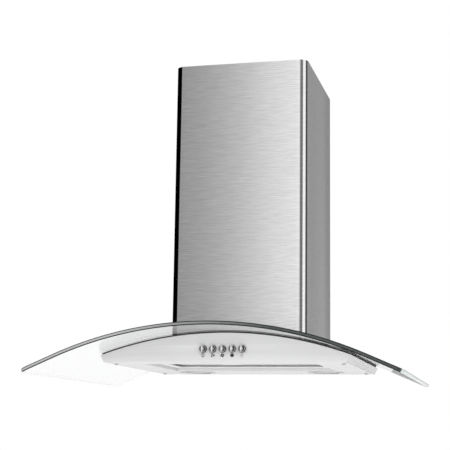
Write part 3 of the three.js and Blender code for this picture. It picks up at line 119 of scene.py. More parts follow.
def filleted(points, radius, steps=5):
    """A closed outline with each corner rounded; radius is one number or one for each corner."""
    radii = radius if isinstance(radius, (list, tuple)) else [radius] * len(points)
    nearly_straight = pi - 0.02
    out = []
    for k, (corner, r) in enumerate(zip(points, radii)):
        here = Vector(corner)
        before = Vector(points[k - 1]) - here
        after = Vector(points[(k + 1) % len(points)]) - here
        turn = before.angle(after)
        if r <= 0 or turn > nearly_straight:
            out.append(tuple(corner))
            continue
        reach = min(r / tan(turn / 2), 0.49 * before.length, 0.49 * after.length)
        start = here + before.normalized() * reach
        end = here + after.normalized() * reach
        for step in range(steps + 1):
            t = step / steps
            out.append(tuple(start * (1 - t) ** 2 + here * (2 * t * (1 - t)) + end * t * t))
    return out


def rectangle(low, high, radius=0.0):
    corners = [(low[0], low[1]), (high[0], low[1]), (high[0], high[1]), (low[0], high[1])]
    return filleted(corners, radius) if radius else corners


def area(loop):
    pairs = zip(loop, loop[1:] + loop[:1])
    return sum(a[0] * b[1] - b[0] * a[1] for a, b in pairs) / 2


def mirrored(points):
    """A line in (radius, place) with its mirror image before it."""
    return [(radius, -place) for radius, place in reversed(points)] + points


def inset(line, distance, closed=True):
    """A line moved to its left: a counter-clockwise loop is drawn in, a clockwise one let out."""
    last = len(line) - 1
    out = []
    for k, point in enumerate(line):
        here = Vector(point)
        a = here - Vector(line[k - 1] if closed or k else point)
        b = Vector(line[(k + 1) % len(line)] if closed or k < last else point) - here
        a, b = (a or b).normalized(), (b or a).normalized()
        na, nb = Vector((-a.y, a.x)), Vector((-b.y, b.x))
        shift = (na + nb) * (distance / max(1 + na.dot(nb), 0.3))
        out.append((here.x + shift.x, here.y + shift.y))
    return out


# ---- meshes

class Shape:
    """Vertices in millimetres and faces with a material number, built up piece by piece."""

    def __init__(self):
        self.verts = []
        self.faces = []
        self.looks = []

    def add(self, verts, faces, look=0):
        start = len(self.verts)
        self.verts += [Vector(v) for v in verts]
        self.faces += [[start + i for i in face] for face in faces]
        self.looks += look if isinstance(look, list) else [look] * len(faces)
        return self

    def join(self, other):
        return self.add(other.verts, other.faces, other.looks)

    def moved(self, matrix):
        self.verts = [matrix @ v for v in self.verts]
        return self

    def repaint(self, look, chosen):
        """Gives a material to the faces that are chosen by their middle and their old material."""
        for k, face in enumerate(self.faces):
            middle = sum((self.verts[i] for i in face), Vector()) / len(face)
            if chosen(middle, self.looks[k]):
                self.looks[k] = look


def shape_of(work):
    """The shape in a bmesh, which it frees."""
    work.verts.index_update()
    verts = [v.co.copy() for v in work.verts]
    faces = [[v.index for v in face.verts] for face in work.faces]
    shape = Shape().add(verts, faces, [face.material_index for face in work.faces])
    work.free()
    return shape


def plate(outline, low, high, holes=(), edge=0.3, edge_steps=2, edge_look=0, side_look=0):
    """A flat plate in x, y between two levels, with holes and rounded edges."""
    loops = [outline if area(outline) > 0 else outline[::-1]]
    loops += [h if area(h) < 0 else h[::-1] for h in holes]
    edge = min(edge, (high - low) / 2.01)
    rounds = [pi / 2 * k / edge_steps for k in range(edge_steps + 1)]
    rings = [(edge * (1 - sin(a)), low + edge * (1 - cos(a))) for a in rounds]
    rings += [(edge * (1 - cos(a)), high - edge * (1 - sin(a))) for a in rounds]
    verts, faces, looks = [], [], []
    caps = [[], []]
    for loop in loops:
        count = len(loop)
        start = len(verts)
        for distance, level in rings:
            verts += [(x, y, level) for x, y in inset(loop, distance)]
        for r in range(len(rings) - 1):
            for k in range(count):
                a = start + r * count + k
                b = start + r * count + (k + 1) % count
                faces.append([a, b, b + count, a + count])
                looks.append(side_look if r == edge_steps else edge_look)
        last = start + (len(rings) - 1) * count
        caps[0].append(range(start, start + count))
        caps[1].append(range(last, last + count))
    for side, cap in enumerate(caps):
        flat = [i for loop in cap for i in loop]
        for triangle in tessellate_polygon([[Vector(verts[i]) for i in loop] for loop in cap]):
            face = [flat[i] for i in triangle]
            a, b, c = (Vector(verts[i]) for i in face)
            points_up = (b - a).cross(c - a).z > 0
            faces.append(face if points_up == bool(side) else face[::-1])
            looks.append(0)
    return Shape().add(verts, faces, looks)


def lathe(profile, sides=64):
    """A turned shape about Z from (radius, height) pairs; closed, unless they start on the axis."""
    verts, rings, faces = [], [], []
    for radius, height in profile:
        if radius < 1e-6:
            rings.append([len(verts)])
            verts.append((0, 0, height))
            continue
        rings.append(range(len(verts), len(verts) + sides))
        verts += [(x, y, height) for x, y in circle((0, 0), radius, sides)]
    closing = [] if profile[0][0] == 0 else rings[:1]
    for a, b in zip(rings, rings[1:] + closing):
        for k in range(sides):
            j = (k + 1) % sides
            quad = [a[k % len(a)], a[j % len(a)], b[j % len(b)], b[k % len(b)]]
            face = [v for n, v in enumerate(quad) if v not in quad[:n]]
            if len(face) > 2:
                faces.append(face)
    return Shape().add(verts, faces)


def shifted(x, y, z):
    return Matrix.Translation((x, y, z))


def towards(direction, place=(0, 0, 0)):
    """The transform that turns local +Z to a direction and moves to a place."""
    return shifted(*place) @ Vector(direction).to_track_quat("Z", "Y").to_matrix().to_4x4()


# Local x, y, z of a plate laid out in another plane of the frame.
STANDING = Matrix(((1, 0, 0, 0), (0, 0, -1, 0), (0, 1, 0, 0), (0, 0, 0, 1)))  # x, z, depth along -y
WEB = Matrix(((1, 0, 0, 0), (0, 0, 1, 0), (0, 1, 0, 0), (0, 0, 0, 1)))  # x, z, thickness along y
ALONG_X = towards(RIGHT)


def new_object(name, data):
    piece = bpy.data.objects.new(name, data)
    bpy.context.scene.collection.objects.link(piece)
    return piece


def new_mesh(name, verts, faces, looks):
    mesh = bpy.data.meshes.new(name)
    mesh.from_pydata(verts, [], faces)
    for look in looks:
        mesh.materials.append(look.material)
    return mesh


def solid(name, shape, looks, node=None, body="root", sharp=32.0):
    """Makes the object with its materials and seats it in the frame, for the CAD node it replaces."""
    looks = looks if isinstance(looks, list) else [looks]
    mesh = new_mesh(name, [v * MM for v in shape.verts], shape.faces, looks)
    for polygon, look in zip(mesh.polygons, shape.looks):
        polygon.material_index = look
    work = bmesh.new()
    work.from_mesh(mesh)
    bmesh.ops.remove_doubles(work, verts=work.verts, dist=1e-7)
    bmesh.ops.recalc_face_normals(work, faces=work.faces)
    work.to_mesh(mesh)
    work.free()
    mesh.shade_smooth()
    mesh.set_sharp_from_angle(angle=radians(sharp))
    piece = new_object(name, mesh)
    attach(piece, BODY_OF.get(node, body))
    if node:
        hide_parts(node)


# ---- the arch

def sliced(shape, places):
    """The same shape with its faces cut along the planes x = place."""
    work = bmesh.new()
    verts = [work.verts.new(v) for v in shape.verts]
    for face, look in zip(shape.faces, shape.looks):
        work.faces.new([verts[i] for i in face]).material_index = look
    for x in places:
        everything = work.verts[:] + work.edges[:] + work.faces[:]
        bmesh.ops.bisect_plane(work, geom=everything, dist=1e-4, plane_co=(x, 0, 0), plane_no=RIGHT)
    return shape_of(work)


def on_arch(sheet, radius):
    """Bends a sheet laid out flat, with x along the arch from its middle and z its thickness."""
    limit = radius * ARCH_TURN
    count = ceil(ARCH_TURN / STRIP)
    shape = sliced(sheet, [limit * k / count for k in range(-count, count + 1)])
    for v in shape.verts:
        run = min(max(v.x, -limit), limit)
        turn = run / radius
        past = v.x - run
        reach = radius + v.z
        v.x = reach * sin(turn) + past * cos(turn)
        v.z = ARCH_CENTRE + reach * cos(turn) - past * sin(turn)
    return shape


def along_arch(x, radius=ARCH_RADIUS):
    """The length along the arch from the middle to a place x."""
    return radius * asin(x / radius)


def arch_height(x, radius):
    return ARCH_CENTRE + sqrt(radius * radius - x * x)


def out_of_arch(middle, height=0.0):
    """The way out of the arch at a piece, and its point at a height over the glass's underside."""
    out = Vector((middle.x, 0, middle.z - ARCH_CENTRE)).normalized()
    return out, Vector((0, middle.y, ARCH_CENTRE)) + out * (ARCH_RADIUS + height)


# ---- materials

ONE_NOISE = (0.3, 0.7)  # where most values of a noise lie
TWO_NOISES = (0.7, 1.3)  # and those of a sum of two
WHOLE = (0.0, 1.0)
AS_IT_IS = None  # no mapping


def add_node(tree, kind, values=None, links=None, **settings):
    """A shader node with its settings, its socket values and its incoming links."""
    node = with_settings(tree.nodes.new(kind), **settings)
    for key, value in (values or {}).items():
        node.inputs[key].default_value = value
    for key, source in (links or {}).items():
        tree.links.new(source, node.inputs[key])
    return node


def maths(tree, how, a, b):
    """The result of a math node on a socket and a socket or number."""
    values, links = ({1: b}, {0: a}) if isinstance(b, float) else ({}, {0: a, 1: b})
    return add_node(tree, "ShaderNodeMath", values, links, operation=how).outputs[0]


def rgb(colour):
    """A colour with alpha, from a grey level or three values."""
    return (*colour, 1) if isinstance(colour, tuple) else (colour, colour, colour, 1)


class Look:
    """A material under construction: object coordinates, noise, ramps and one Principled shader."""

    def __init__(self, name, colour, roughness, metallic=0.0, **fixed):
        self.material = bpy.data.materials.new(name)
        self.material.use_nodes = True
        self.tree = self.material.node_tree
        self.shader = self.tree.nodes["Principled BSDF"]
        fixed.update(Base_Color=rgb(colour), Roughness=roughness, Metallic=metallic)
        for key, value in fixed.items():
            self.shader.inputs[key.replace("_", " ")].default_value = value
        self.place = self.node("ShaderNodeTexCoord")["Object"]

    def node(self, kind, values=None, links=None, **settings):
        return add_node(self.tree, kind, values, links, **settings).outputs

    def noise(self, scale, detail):
        """Noise over the piece; scale is its features in a metre, or one number for each axis."""
        where = self.place
        if isinstance(scale, tuple):
            where = self.node("ShaderNodeMapping", {"Scale": scale}, {"Vector": where})["Vector"]
            scale = 1.0
        return self.node("ShaderNodeTexNoise", {"Scale": scale, "Detail": detail}, {"Vector": where})["Fac"]

    def cells(self, scale):
        return self.node("ShaderNodeTexVoronoi", {"Scale": scale}, {"Vector": self.place})["Color"]

    def across(self):
        """The place from left to right, in metres."""
        return self.node("ShaderNodeSeparateXYZ", links={"Vector": self.place})["X"]

    def mapped(self, source, low, high, span=ONE_NOISE):
        values = {"From Min": span[0], "From Max": span[1], "To Min": low, "To Max": high}
        return self.node("ShaderNodeMapRange", values, {"Value": source})["Result"]

    def added(self, a, b):
        return maths(self.tree, "ADD", a, b)

    def feed(self, source, socket):
        self.tree.links.new(source, self.shader.inputs[socket])

    def shade(self, source, dark, light, span=ONE_NOISE):
        """A base colour that goes from one to another over a span of the source."""
        factor = self.mapped(source, 0.0, 1.0, span) if span else source
        mix = add_node(self.tree, "ShaderNodeMix", data_type="RGBA")
        self.tree.links.new(factor, mix.inputs["Factor"])
        mix.inputs["A"].default_value = rgb(dark)
        mix.inputs["B"].default_value = rgb(light)
        self.feed(mix.outputs["Result"], "Base Color")

    def rough(self, source, low, high, span=ONE_NOISE):
        self.feed(self.mapped(source, low, high, span), "Roughness")

    def bump(self, height, distance, strength):
        """Bumps of so many metres."""
        values = {"Strength": strength, "Distance": distance}
        self.feed(self.node("ShaderNodeBump", values, {"Height": height})["Normal"], "Normal")

    def surface(self, factor, other, first=None):
        """Lets another shader take over from the first as the factor goes to 1."""
        links = {0: factor, 1: (first or self.shader.outputs)[0], 2: other[0]}
        mix = self.node("ShaderNodeMixShader", links=links)
        self.tree.links.new(mix[0], self.tree.nodes["Material Output"].inputs["Surface"])


def brushed_steel():
    """Steel brushed along the horizontal, with long fine streaks."""
    light, dark, roughness, grain = 0.895, 0.685, 0.20, 950.0
    look = Look("chimney_steel", light, roughness, metallic=1.0, Anisotropic=1.0)
    fine = look.noise((60.0, 60.0, grain * 2.6), 3.0)
    wide = look.noise((36.0, 36.0, grain), 4.0)
    streaks = look.added(fine, wide)
    look.shade(streaks, dark, light, (0.72, 1.28))
    look.rough(streaks, roughness * 0.9, roughness * 1.12, TWO_NOISES)
    look.bump(fine, 0.00002, 0.35)
    look.feed(look.node("ShaderNodeCombineXYZ", {"Z": 1.0})["Vector"], "Tangent")
    return look


def satin_steel():
    """The body's light satin finish, with a faint horizontal grain."""
    look = Look("body_satin", 0.755, 0.42, metallic=0.15)
    grain = look.noise((10.0, 10.0, 700.0), 4.0)
    cloud = look.noise(6.0, 2.0)
    look.shade(look.added(grain, cloud), 0.74, 0.77, TWO_NOISES)
    look.rough(grain, 0.38, 0.50)
    look.bump(grain, 0.00001, 0.3)
    return look


def galvanised_steel():
    """Zinc-coated sheet with its spangle."""
    look = Look("galvanised_sheet", 0.5, 0.42, metallic=0.9)
    spangle = look.cells(130.0)
    blur = look.noise(45.0, 3.0)
    cloudy = look.added(look.mapped(spangle, 0.0, 0.7, WHOLE), look.mapped(blur, 0.0, 0.3))
    look.shade(cloudy, 0.44, (0.60, 0.604, 0.612), AS_IT_IS)
    look.rough(spangle, 0.36, 0.54, WHOLE)
    look.bump(blur, 0.00003, 0.3)
    return look


def motor_steel():
    look = Look("motor_steel", 0.33, 0.38, metallic=0.95)
    wear = look.noise(120.0, 5.0)
    turned = look.noise((900.0, 40.0, 40.0), 3.0)
    look.shade(look.added(wear, turned), 0.26, 0.40, TWO_NOISES)
    look.rough(turned, 0.3, 0.48)
    look.bump(wear, 0.00002, 0.3)
    return look


def chrome(name, roughness):
    look = Look(name, 0.88, roughness, metallic=1.0)
    haze = look.noise(260.0, 4.0)
    look.shade(haze, 0.80, 0.92)
    look.rough(haze, roughness * 0.7, roughness * 1.8)
    return look


def aluminium():
    look = Look("bare_aluminium", 0.87, 0.35, metallic=0.15, Anisotropic=0.4)
    grain = look.noise((30.0, 500.0, 500.0), 4.0)
    dull = look.noise(25.0, 3.0)
    look.shade(look.added(grain, dull), 0.85, 0.90, TWO_NOISES)
    look.rough(dull, 0.28, 0.46)
    look.bump(grain, 0.00001, 0.3)
    return look


def moulded_plastic(name, dark, light, roughness=0.45):
    look = Look(name, light, roughness)
    spark = look.noise(1400.0, 2.0)
    cloud = look.noise(20.0, 3.0)
    look.shade(cloud, dark, light)
    look.rough(cloud, roughness * 0.9, roughness * 1.15)
    look.bump(spark, 0.00003, 0.35)
    return look


def black_rubber():
    look = Look("black_rubber", 0.012, 0.7)
    dust = look.noise(90.0, 5.0)
    look.shade(dust, 0.008, 0.03, (0.45, 0.8))
    look.rough(dust, 0.6, 0.85)
    look.bump(dust, 0.00004, 0.4)
    return look


def canopy_glass():
    """Clear glass that lets the lamps' light through, so that shadows behind it have no noise."""
    look = Look("canopy_glass", (0.98, 0.988, 0.986), 0.0, IOR=1.05, Transmission_Weight=1.0,
                Coat_Weight=0.5, Coat_IOR=1.5, Coat_Roughness=0.0)
    film = look.noise(14.0, 3.0)
    look.shade(film, (0.975, 0.983, 0.981), (0.987, 0.993, 0.991))
    clear = look.node("ShaderNodeBsdfTransparent", {"Color": (0.965, 0.972, 0.97, 1)})
    look.surface(look.node("ShaderNodeLightPath")["Is Shadow Ray"], clear)
    return look


def glass_edge(name, left, right, gloss):
    """Ground and polished edge of the pane, with painted shade: its colour is painted darker towards the
    right, for the light lost in the glass.
    """
    look = Look(name, left, 0.2, Specular_IOR_Level=gloss)
    marks = look.noise((400.0, 400.0, 60.0), 3.0)
    # Painted shade: the colour is mixed from left to right across the pane, so the edge is darker towards
    # the right.
    side = look.mapped(look.across(), 0.0, 1.0, (-0.14, 0.10))
    look.shade(look.added(side, look.mapped(marks, -0.06, 0.06)), left, right, AS_IT_IS)
    look.rough(marks, 0.2, 0.5)
    return look


def painted_light_edge():
    """The pane's ends and back, with painted light: a pale colour for the light the edge shows instead of
    the depth of the glass, painted darker and more opaque towards the right.
    """
    look = Look("glass_edge_pale", (0.90, 0.94, 0.925), 0.15)
    marks = look.noise((40.0, 12.0, 40.0), 3.0)
    across, ends = look.across(), (-0.2, 0.3)
    # Painted light and shade: paler at the left, darker towards the right.
    painted_light_and_shade = look.added(look.mapped(across, 0.0, 1.0, ends), look.mapped(marks, -0.05, 0.05))
    look.shade(painted_light_and_shade, (0.96, 0.975, 0.97), (0.74, 0.80, 0.78), AS_IT_IS)
    look.rough(marks, 0.1, 0.25)
    look.feed(look.mapped(across, 0.3, 0.9, ends), "Alpha")
    return look


def lamp_lens():
    look = Look("lamp_lens", (0.9, 0.9, 0.87), 0.35, IOR=1.49, Transmission_Weight=0.35)
    prisms = look.cells(420.0)
    look.shade(prisms, (0.84, 0.84, 0.81), (0.93, 0.93, 0.90), WHOLE)
    look.bump(prisms, 0.0002, 0.5)
    return look


def print_ink(name, value):
    look = Look(name, value, 0.5)
    look.shade(look.noise(900.0, 3.0), value * 0.8, value * 1.25)
    return look


CHIMNEY_STEEL = brushed_steel()
BODY_STEEL = satin_steel()
GALVANISED = galvanised_steel()
MOTOR_STEEL = motor_steel()
SCREW_CHROME = chrome("screw_chrome", 0.16)
BUTTON_CHROME = chrome("button_chrome", 0.05)
LAMP_CHROME = chrome("lamp_chrome", 0.3)
ALUMINIUM = aluminium()
CANOPY_GLASS = canopy_glass()
# Painted shade: the edge's face goes from grey-green at the left to near black at the right, and its bevels
# are a darker painted copy of it.
EDGE_FACE_PAINTED_SHADE = glass_edge("glass_edge_face", (0.46, 0.47, 0.465), (0.060, 0.070, 0.067), 0.4)
EDGE_BEVEL_PAINTED_SHADE = glass_edge("glass_edge_bevel", (0.024, 0.028, 0.026), (0.008, 0.010, 0.009), 0.12)
PALE_EDGE_PAINTED_LIGHT = painted_light_edge()
LENS = lamp_lens()
RUBBER = black_rubber()
BLACK_PLASTIC = moulded_plastic("black_plastic", 0.014, 0.024)
GREY_PLASTIC = moulded_plastic("grey_plastic", 0.26, 0.31, 0.5)
INK_DARK = print_ink("print_dark", 0.035)
INK_PALE = print_ink("print_pale", 0.30)


# ---- pieces kept from the CAD model

def smooth_by_angle():
    """A modifier tree that smooths a mesh except at its sharper edges."""
    tree = bpy.data.node_groups.new("smooth_by_angle", "GeometryNodeTree")
    for way in ("INPUT", "OUTPUT"):
        tree.interface.new_socket("Geometry", in_out=way, socket_type="NodeSocketGeometry")
    start = add_node(tree, "NodeGroupInput")
    angle = add_node(tree, "GeometryNodeInputMeshEdgeAngle").outputs["Unsigned Angle"]
    small = add_node(tree, "FunctionNodeCompare", {1: radians(25)}, {0: angle},
                     operation="LESS_EQUAL")
    links = {"Geometry": start.outputs[0], "Shade Smooth": small.outputs[0]}
    edges = add_node(tree, "GeometryNodeSetShadeSmooth", links=links, domain="EDGE")
    faces = add_node(tree, "GeometryNodeSetShadeSmooth", links={"Geometry": edges.outputs["Geometry"]},
                     domain="FACE")
    add_node(tree, "NodeGroupOutput", links={0: faces.outputs["Geometry"]})
    return tree


SMOOTHER = smooth_by_angle()


def dressed(node, look, bevel):
    """A CAD node that keeps its shape, with soft edges and its own material."""
    piece = frame["nodes"][node]
    piece.data.materials.clear()
    piece.data.materials.append(look.material)
    add = piece.modifiers.new
    if bevel:
        with_settings(add("flat_faces", "DECIMATE"), decimate_type="DISSOLVE", angle_limit=radians(0.5))
        with_settings(add("round_edges", "BEVEL"), width=bevel * MM, segments=2, limit_method="ANGLE",
                      angle_limit=radians(40))
    add("smooth", "NODES").node_group = SMOOTHER
    with_settings(add("weighted", "WEIGHTED_NORMAL"), keep_sharp=True, weight=100)


def dress_the_rest():
    """The nodes that no finer piece replaces, with the width of their soft edges."""
    kept = {
        BODY_STEEL: {"body_case": 0.4, "bottom_panel": 0.35},
        CHIMNEY_STEEL: {"inner_chimney": 0.0},
        GALVANISED: {"fan_box": 0.4, "ceiling_bracket": 0.3, "chimney_clip_left": 0.3,
                     "chimney_clip_right": 0.3, "motor_bracket": 0.3},
        ALUMINIUM: {"filter_frame": 0.35, "filter_latch": 0.3},
        BLACK_PLASTIC: {"switch_block": 0.5, "lamp_driver": 0.8},
        GREY_PLASTIC: {"blower_scroll": 0.0, "terminal_box": 0.8},
    }
    for look, nodes in kept.items():
        for node, bevel in nodes.items():
            dressed(node, look, bevel)


# ---- glass canopy

NOTCH_GAP = 3.0  # from the fan box to the glass and to the seal


def canopy_pane():
    """The pane: bevelled round its rim, notched at the back, bent to the arch."""
    front, back = glass_low.y, glass_high.y
    outer_x = (ARCH_RADIUS + GLASS_THICKNESS) * sin(ARCH_TURN)
    half = ARCH_RADIUS * ARCH_TURN + (glass_high.x - outer_x) / cos(ARCH_TURN)
    fan_low, fan_high = box_mm("fan_box")
    notch_half = along_arch(fan_high.x + NOTCH_GAP)
    notch_front = fan_low.y - NOTCH_GAP
    at_front, at_back, at_mouth, in_notch = 16, 6, 3, 8  # corner radii
    corners = {
        (-half, front): at_front, (half, front): at_front,
        (half, back): at_back, (notch_half, back): at_mouth,
        (notch_half, notch_front): in_notch, (-notch_half, notch_front): in_notch,
        (-notch_half, back): at_mouth, (-half, back): at_back,
    }
    outline = filleted(list(corners), list(corners.values()), 10)
    hole_radius, bevel = 4.5, 1.5
    screws_at = [middle_of(node)[0] for node in GROMMETS]
    holes = [circle((along_arch(m.x), m.y), hole_radius, 24) for m in screws_at]
    pane = plate(outline, 0, GLASS_THICKNESS, holes, bevel, 1, edge_look=2, side_look=1)
    wrap, depth = 4.0, 12.0  # the front edge's painted shade goes this far round the two front corners; the rest of the edge gets painted light
    pane.repaint(3, lambda at, look: look and (at.y > front + depth or abs(at.x) > half - wrap))
    solid("canopy_pane", on_arch(pane, ARCH_RADIUS), [CANOPY_GLASS, EDGE_FACE_PAINTED_SHADE, EDGE_BEVEL_PAINTED_SHADE, PALE_EDGE_PAINTED_LIGHT],
          "glass_canopy", sharp=14)


def seal_strip():
    """The black strip between the body's deck and the glass, open behind at the fan box."""
    low, high = box_mm("glass_seal")
    notch = box_mm("fan_box")[1].x + NOTCH_GAP
    tucked, width, thickness, lift = 3.0, 8.0, 2.1, 0.05  # tucked in from the body's sides
    half = along_arch(high.x - tucked, DECK_RADIUS)
    inner = half - width
    outline = [
        (-half, low.y), (half, low.y), (half, high.y), (notch, high.y), (notch, high.y - width),
        (inner, high.y - width), (inner, low.y + width), (-inner, low.y + width),
        (-inner, high.y - width), (-notch, high.y - width), (-notch, high.y), (-half, high.y),
    ]
    strip = on_arch(plate(outline, 0, thickness, edge=0.4), DECK_RADIUS + lift)
    solid("seal_strip", strip, RUBBER, "glass_seal")


# ---- fascia and controls

def body_section(gap):
    """The body's outline across its width, in x, z, drawn in by a gap."""
    half, bottom, steps = BODY_HALF_TOP - gap, BODY_BOTTOM + gap, 90
    xs = [half - 2 * half * k / steps for k in range(steps + 1)]
    return [(-BODY_HALF_BOTTOM + gap, bottom), (BODY_HALF_BOTTOM - gap, bottom)] + [
        (x, arch_height(x, DECK_RADIUS - gap)) for x in xs
    ]


def button_places():
    """Each button's node, its middle in x, z and its front in y."""
    places = []
    for name in sorted(n for n in frame["nodes"] if n.startswith("button_")):
        middle, low, _ = middle_of(name)
        places.append((name, middle.x, middle.z, low.y))
    return places


def fascia():
    """The arched front with its five button holes and a return all round."""
    play, return_depth = 0.5, 10.0
    face, back = -BODY_FRONT, -BODY_FRONT - SHEET
    holes = [circle((x, z), BUTTON_RADIUS + play, 40) for _, x, z, _ in button_places()]
    shape = plate(body_section(0), back, face, holes, 0.45, 3)
    outer, inner = body_section(SHEET + SEAT_GAP), body_section(2 * SHEET + SEAT_GAP)
    shape.join(plate(outer, back - return_depth, back, [inner], 0.2, 1))
    solid("fascia_front", shape.moved(STANDING), BODY_STEEL, "front_fascia")


CAP_ROLL = 0.5  # rounding of a button's rim; the chrome ends there, on a black side
CAP_CONE = radians(33)  # slope of the cone; steeper, its reflections bounce in the cup


def dished_cap(proud, depth):
    """Profile of a button: a turned cap with a rolled rim, and a cone that ends in a shallow bowl."""
    radius, roll = BUTTON_RADIUS, CAP_ROLL
    stem, back, chamfer, blend = 2.5, -2.2, 0.3, 0.15
    profile = [(0, -depth), (stem - chamfer, -depth), (stem, -depth + chamfer), (stem, back),
               (radius - chamfer, back), (radius, back + chamfer), (radius, proud - roll)]
    profile += [(radius - roll + r, proud - roll + h) for r, h in arc((0, 0), roll, 0, 90, 6)][1:]
    bowl, lean = 2.7, 0.16  # the bowl's radius, and its slope at its rim
    foot = proud - (radius - roll - bowl) * tan(CAP_CONE)
    profile.append((bowl + blend, foot + blend * tan(CAP_CONE)))
    profile += [(r, foot - lean * (bowl - r) * (1 - (bowl - r) / (2 * bowl)))
                for r in (bowl - blend, 2.0, 1.4, 0.7, 0)]
    return profile


def buttons():
    for name, x, z, front in button_places():
        proud = BODY_FRONT - front
        cap = lathe(dished_cap(proud, box_mm(name)[1].y - BODY_FRONT))
        rim = BUTTON_RADIUS - 0.1
        cap.repaint(1, lambda at, _: at.xy.length > rim and at.z < proud - CAP_ROLL)
        cap.moved(towards(FORWARD, (x, BODY_FRONT, z)))
        solid(name.replace("button", "button_cap"), cap, [BUTTON_CHROME, BLACK_PLASTIC], name)


def printed(outline, holes=(), thickness=0.06):
    return plate(outline, 0, thickness, holes, edge=0.01, edge_steps=1)


def petal(turn, inner, outer, width, lean):
    """A leaf-shaped fan blade in x, y, from its inner to its outer end."""
    middle, half, steps = (inner + outer) / 2, (outer - inner) / 2, 14
    points = []
    for k in range(steps):
        a = 2 * pi * k / steps
        along = half * cos(a)
        side = width / 2 * sin(a) * (1 + 0.35 * cos(a))
        radius = middle + along
        angle = turn + side / max(radius, 0.5) + lean * (along / half)
        points.append((radius * cos(angle), radius * sin(angle)))
    return points


def fan_sign(blades, outer, width, lean, start, hub=0.0):
    shape = Shape()
    for k in range(blades):
        shape.join(printed(petal(2 * pi * (k / blades) + start, 0.7, outer, width, lean)))
    if hub:
        shape.join(printed(circle((0, 0), hub, 20), thickness=0.07))
    return shape


def ring_sign(radius, width, stretch=1.0):
    outer, inner = ([(x, y * stretch) for x, y in circle((0, 0), r, 32)] for r in (radius, radius - width))
    return printed(outer, [inner])


def lamp_sign():
    """A small bulb: a ring with a short cap under it and rays above."""
    shape = ring_sign(2.2, 0.8).join(printed(rectangle((-0.9, -3.1), (0.9, -2.5), 0.2)))
    for turn in (20, 55, 90, 125, 160):
        ray = printed(rectangle((2.7, -0.2), (3.4, 0.2)))
        shape.join(ray.moved(Matrix.Rotation(radians(turn), 4, "Z")))
    return shape


def symbols():
    """Plain signs printed under the buttons: off, three speeds and the lamp."""
    signs = [
        ("sign_off", ring_sign(2.5, 0.95, 1.25), INK_DARK),
        ("sign_low", fan_sign(3, 3.4, 3.1, 0.35, 1.8), INK_DARK),
        ("sign_medium", fan_sign(4, 3.4, 3.1, 0.25, 0.2), INK_DARK),
        ("sign_high", fan_sign(6, 3.3, 2.9, 0.2, 0.3, hub=1.6), INK_DARK),
        ("sign_lamp", lamp_sign(), INK_PALE),
    ]
    drop, lift = 10.3, 0.01  # below the middle of a button, and off the steel
    for (name, shape, ink), (_, x, z, _) in zip(signs, button_places()):
        solid(name, shape.moved(towards(FORWARD, (x, BODY_FRONT - lift, z - drop))), ink)


# ---- chimney

def cover_path(half, front, back):
    """Outer line of the U-shaped cover in x, y, from the left return to the right one."""
    corner, bend, spacing = CHIMNEY_CORNER, 1.5, 4.0
    flat = half - corner
    steps = round(2 * flat / spacing)
    end = half - CHIMNEY_RETURN
    return [
        (-end, back),
        *arc((-half + bend, back - bend), bend, 90, 180, 4),
        *arc((-flat, front + corner), corner, 180, 270, 16)[:-1],
        *((-flat + 2 * flat * k / steps, front) for k in range(steps + 1)),
        *arc((flat, front + corner), corner, 270, 360, 16)[1:],
        *arc((half - bend, back - bend), bend, 0, 90, 4),
        (end, back),
    ]


def outer_cover():
    """The folded sheet cover, cut below to the arch of the glass."""
    low, high = box_mm("outer_chimney")
    foot = ARCH_RADIUS + GLASS_THICKNESS + SEAT_GAP
    path = cover_path(high.x, low.y, high.y)
    verts = []
    for (x, y), (inner_x, inner_y) in zip(path, inset(path, CHIMNEY_WALL, closed=False)):
        bottom = arch_height(x, foot)
        verts += [(x, y, bottom), (x, y, high.z), (inner_x, inner_y, high.z), (inner_x, inner_y, bottom)]
    faces = [[3, 2, 1, 0], [len(verts) - 4 + i for i in range(4)]]
    for a in range(0, len(verts) - 4, 4):
        for i in range(4):
            j = (i + 1) % 4
            faces.append([a + i, a + 4 + i, a + 4 + j, a + j])
    solid("chimney_cover", Shape().add(verts, faces), CHIMNEY_STEEL, "outer_chimney")


# ---- screws and grommets

SCREW_HEAD = (3.4, 2.0)  # radius and height
SCREW_FACES = {  # where the heads face; the other screws face out to their own side
    "panel_screw_": (0, 0, -1),
    "bracket_screw_": (-1, 0, 0),
    "collar_screw_": (0, 0, 1),
}
GLASS_SCREW_TOP = 10.6  # above the underside of the glass
GLASS_SCREW_LENGTH = 17.8


def cross_outline(size, arm):
    corners = [
        (size, -arm), (size, arm), (arm, arm), (arm, size), (-arm, size), (-arm, arm),
        (-size, arm), (-size, -arm), (-arm, -arm), (-arm, -size), (arm, -size), (arm, -arm),
    ]
    return filleted(corners, 0.12, 2)


def screw_shape(length):
    """A pan-head screw along Z, its head standing over z = 0, with a cross recess and a thread."""
    radius, height = SCREW_HEAD
    gap = SEAT_GAP
    head = plate(circle((0, 0), radius, 40), gap, gap + height, [cross_outline(1.9, 0.42)], 0.7, 4)
    floor_of_recess = gap + height * 0.45
    head.join(plate(circle((0, 0), radius - 0.8, 24), gap + 0.05, floor_of_recess, edge=0.05, edge_steps=1))
    core, crest, pitch, tip = 1.35, 1.7, 0.8, 1.2
    profile = [(0, -length), (0.5, -length), (core, -length + tip)]
    for k in range(int((length - tip - 0.5) / pitch)):
        z = -length + tip + k * pitch
        profile += [(core, z + 0.1), (crest, z + pitch / 2), (core, z + pitch - 0.1)]
    profile += [(crest, gap + 0.2), (0, gap + 0.2)]
    return head.join(lathe(profile, 20))


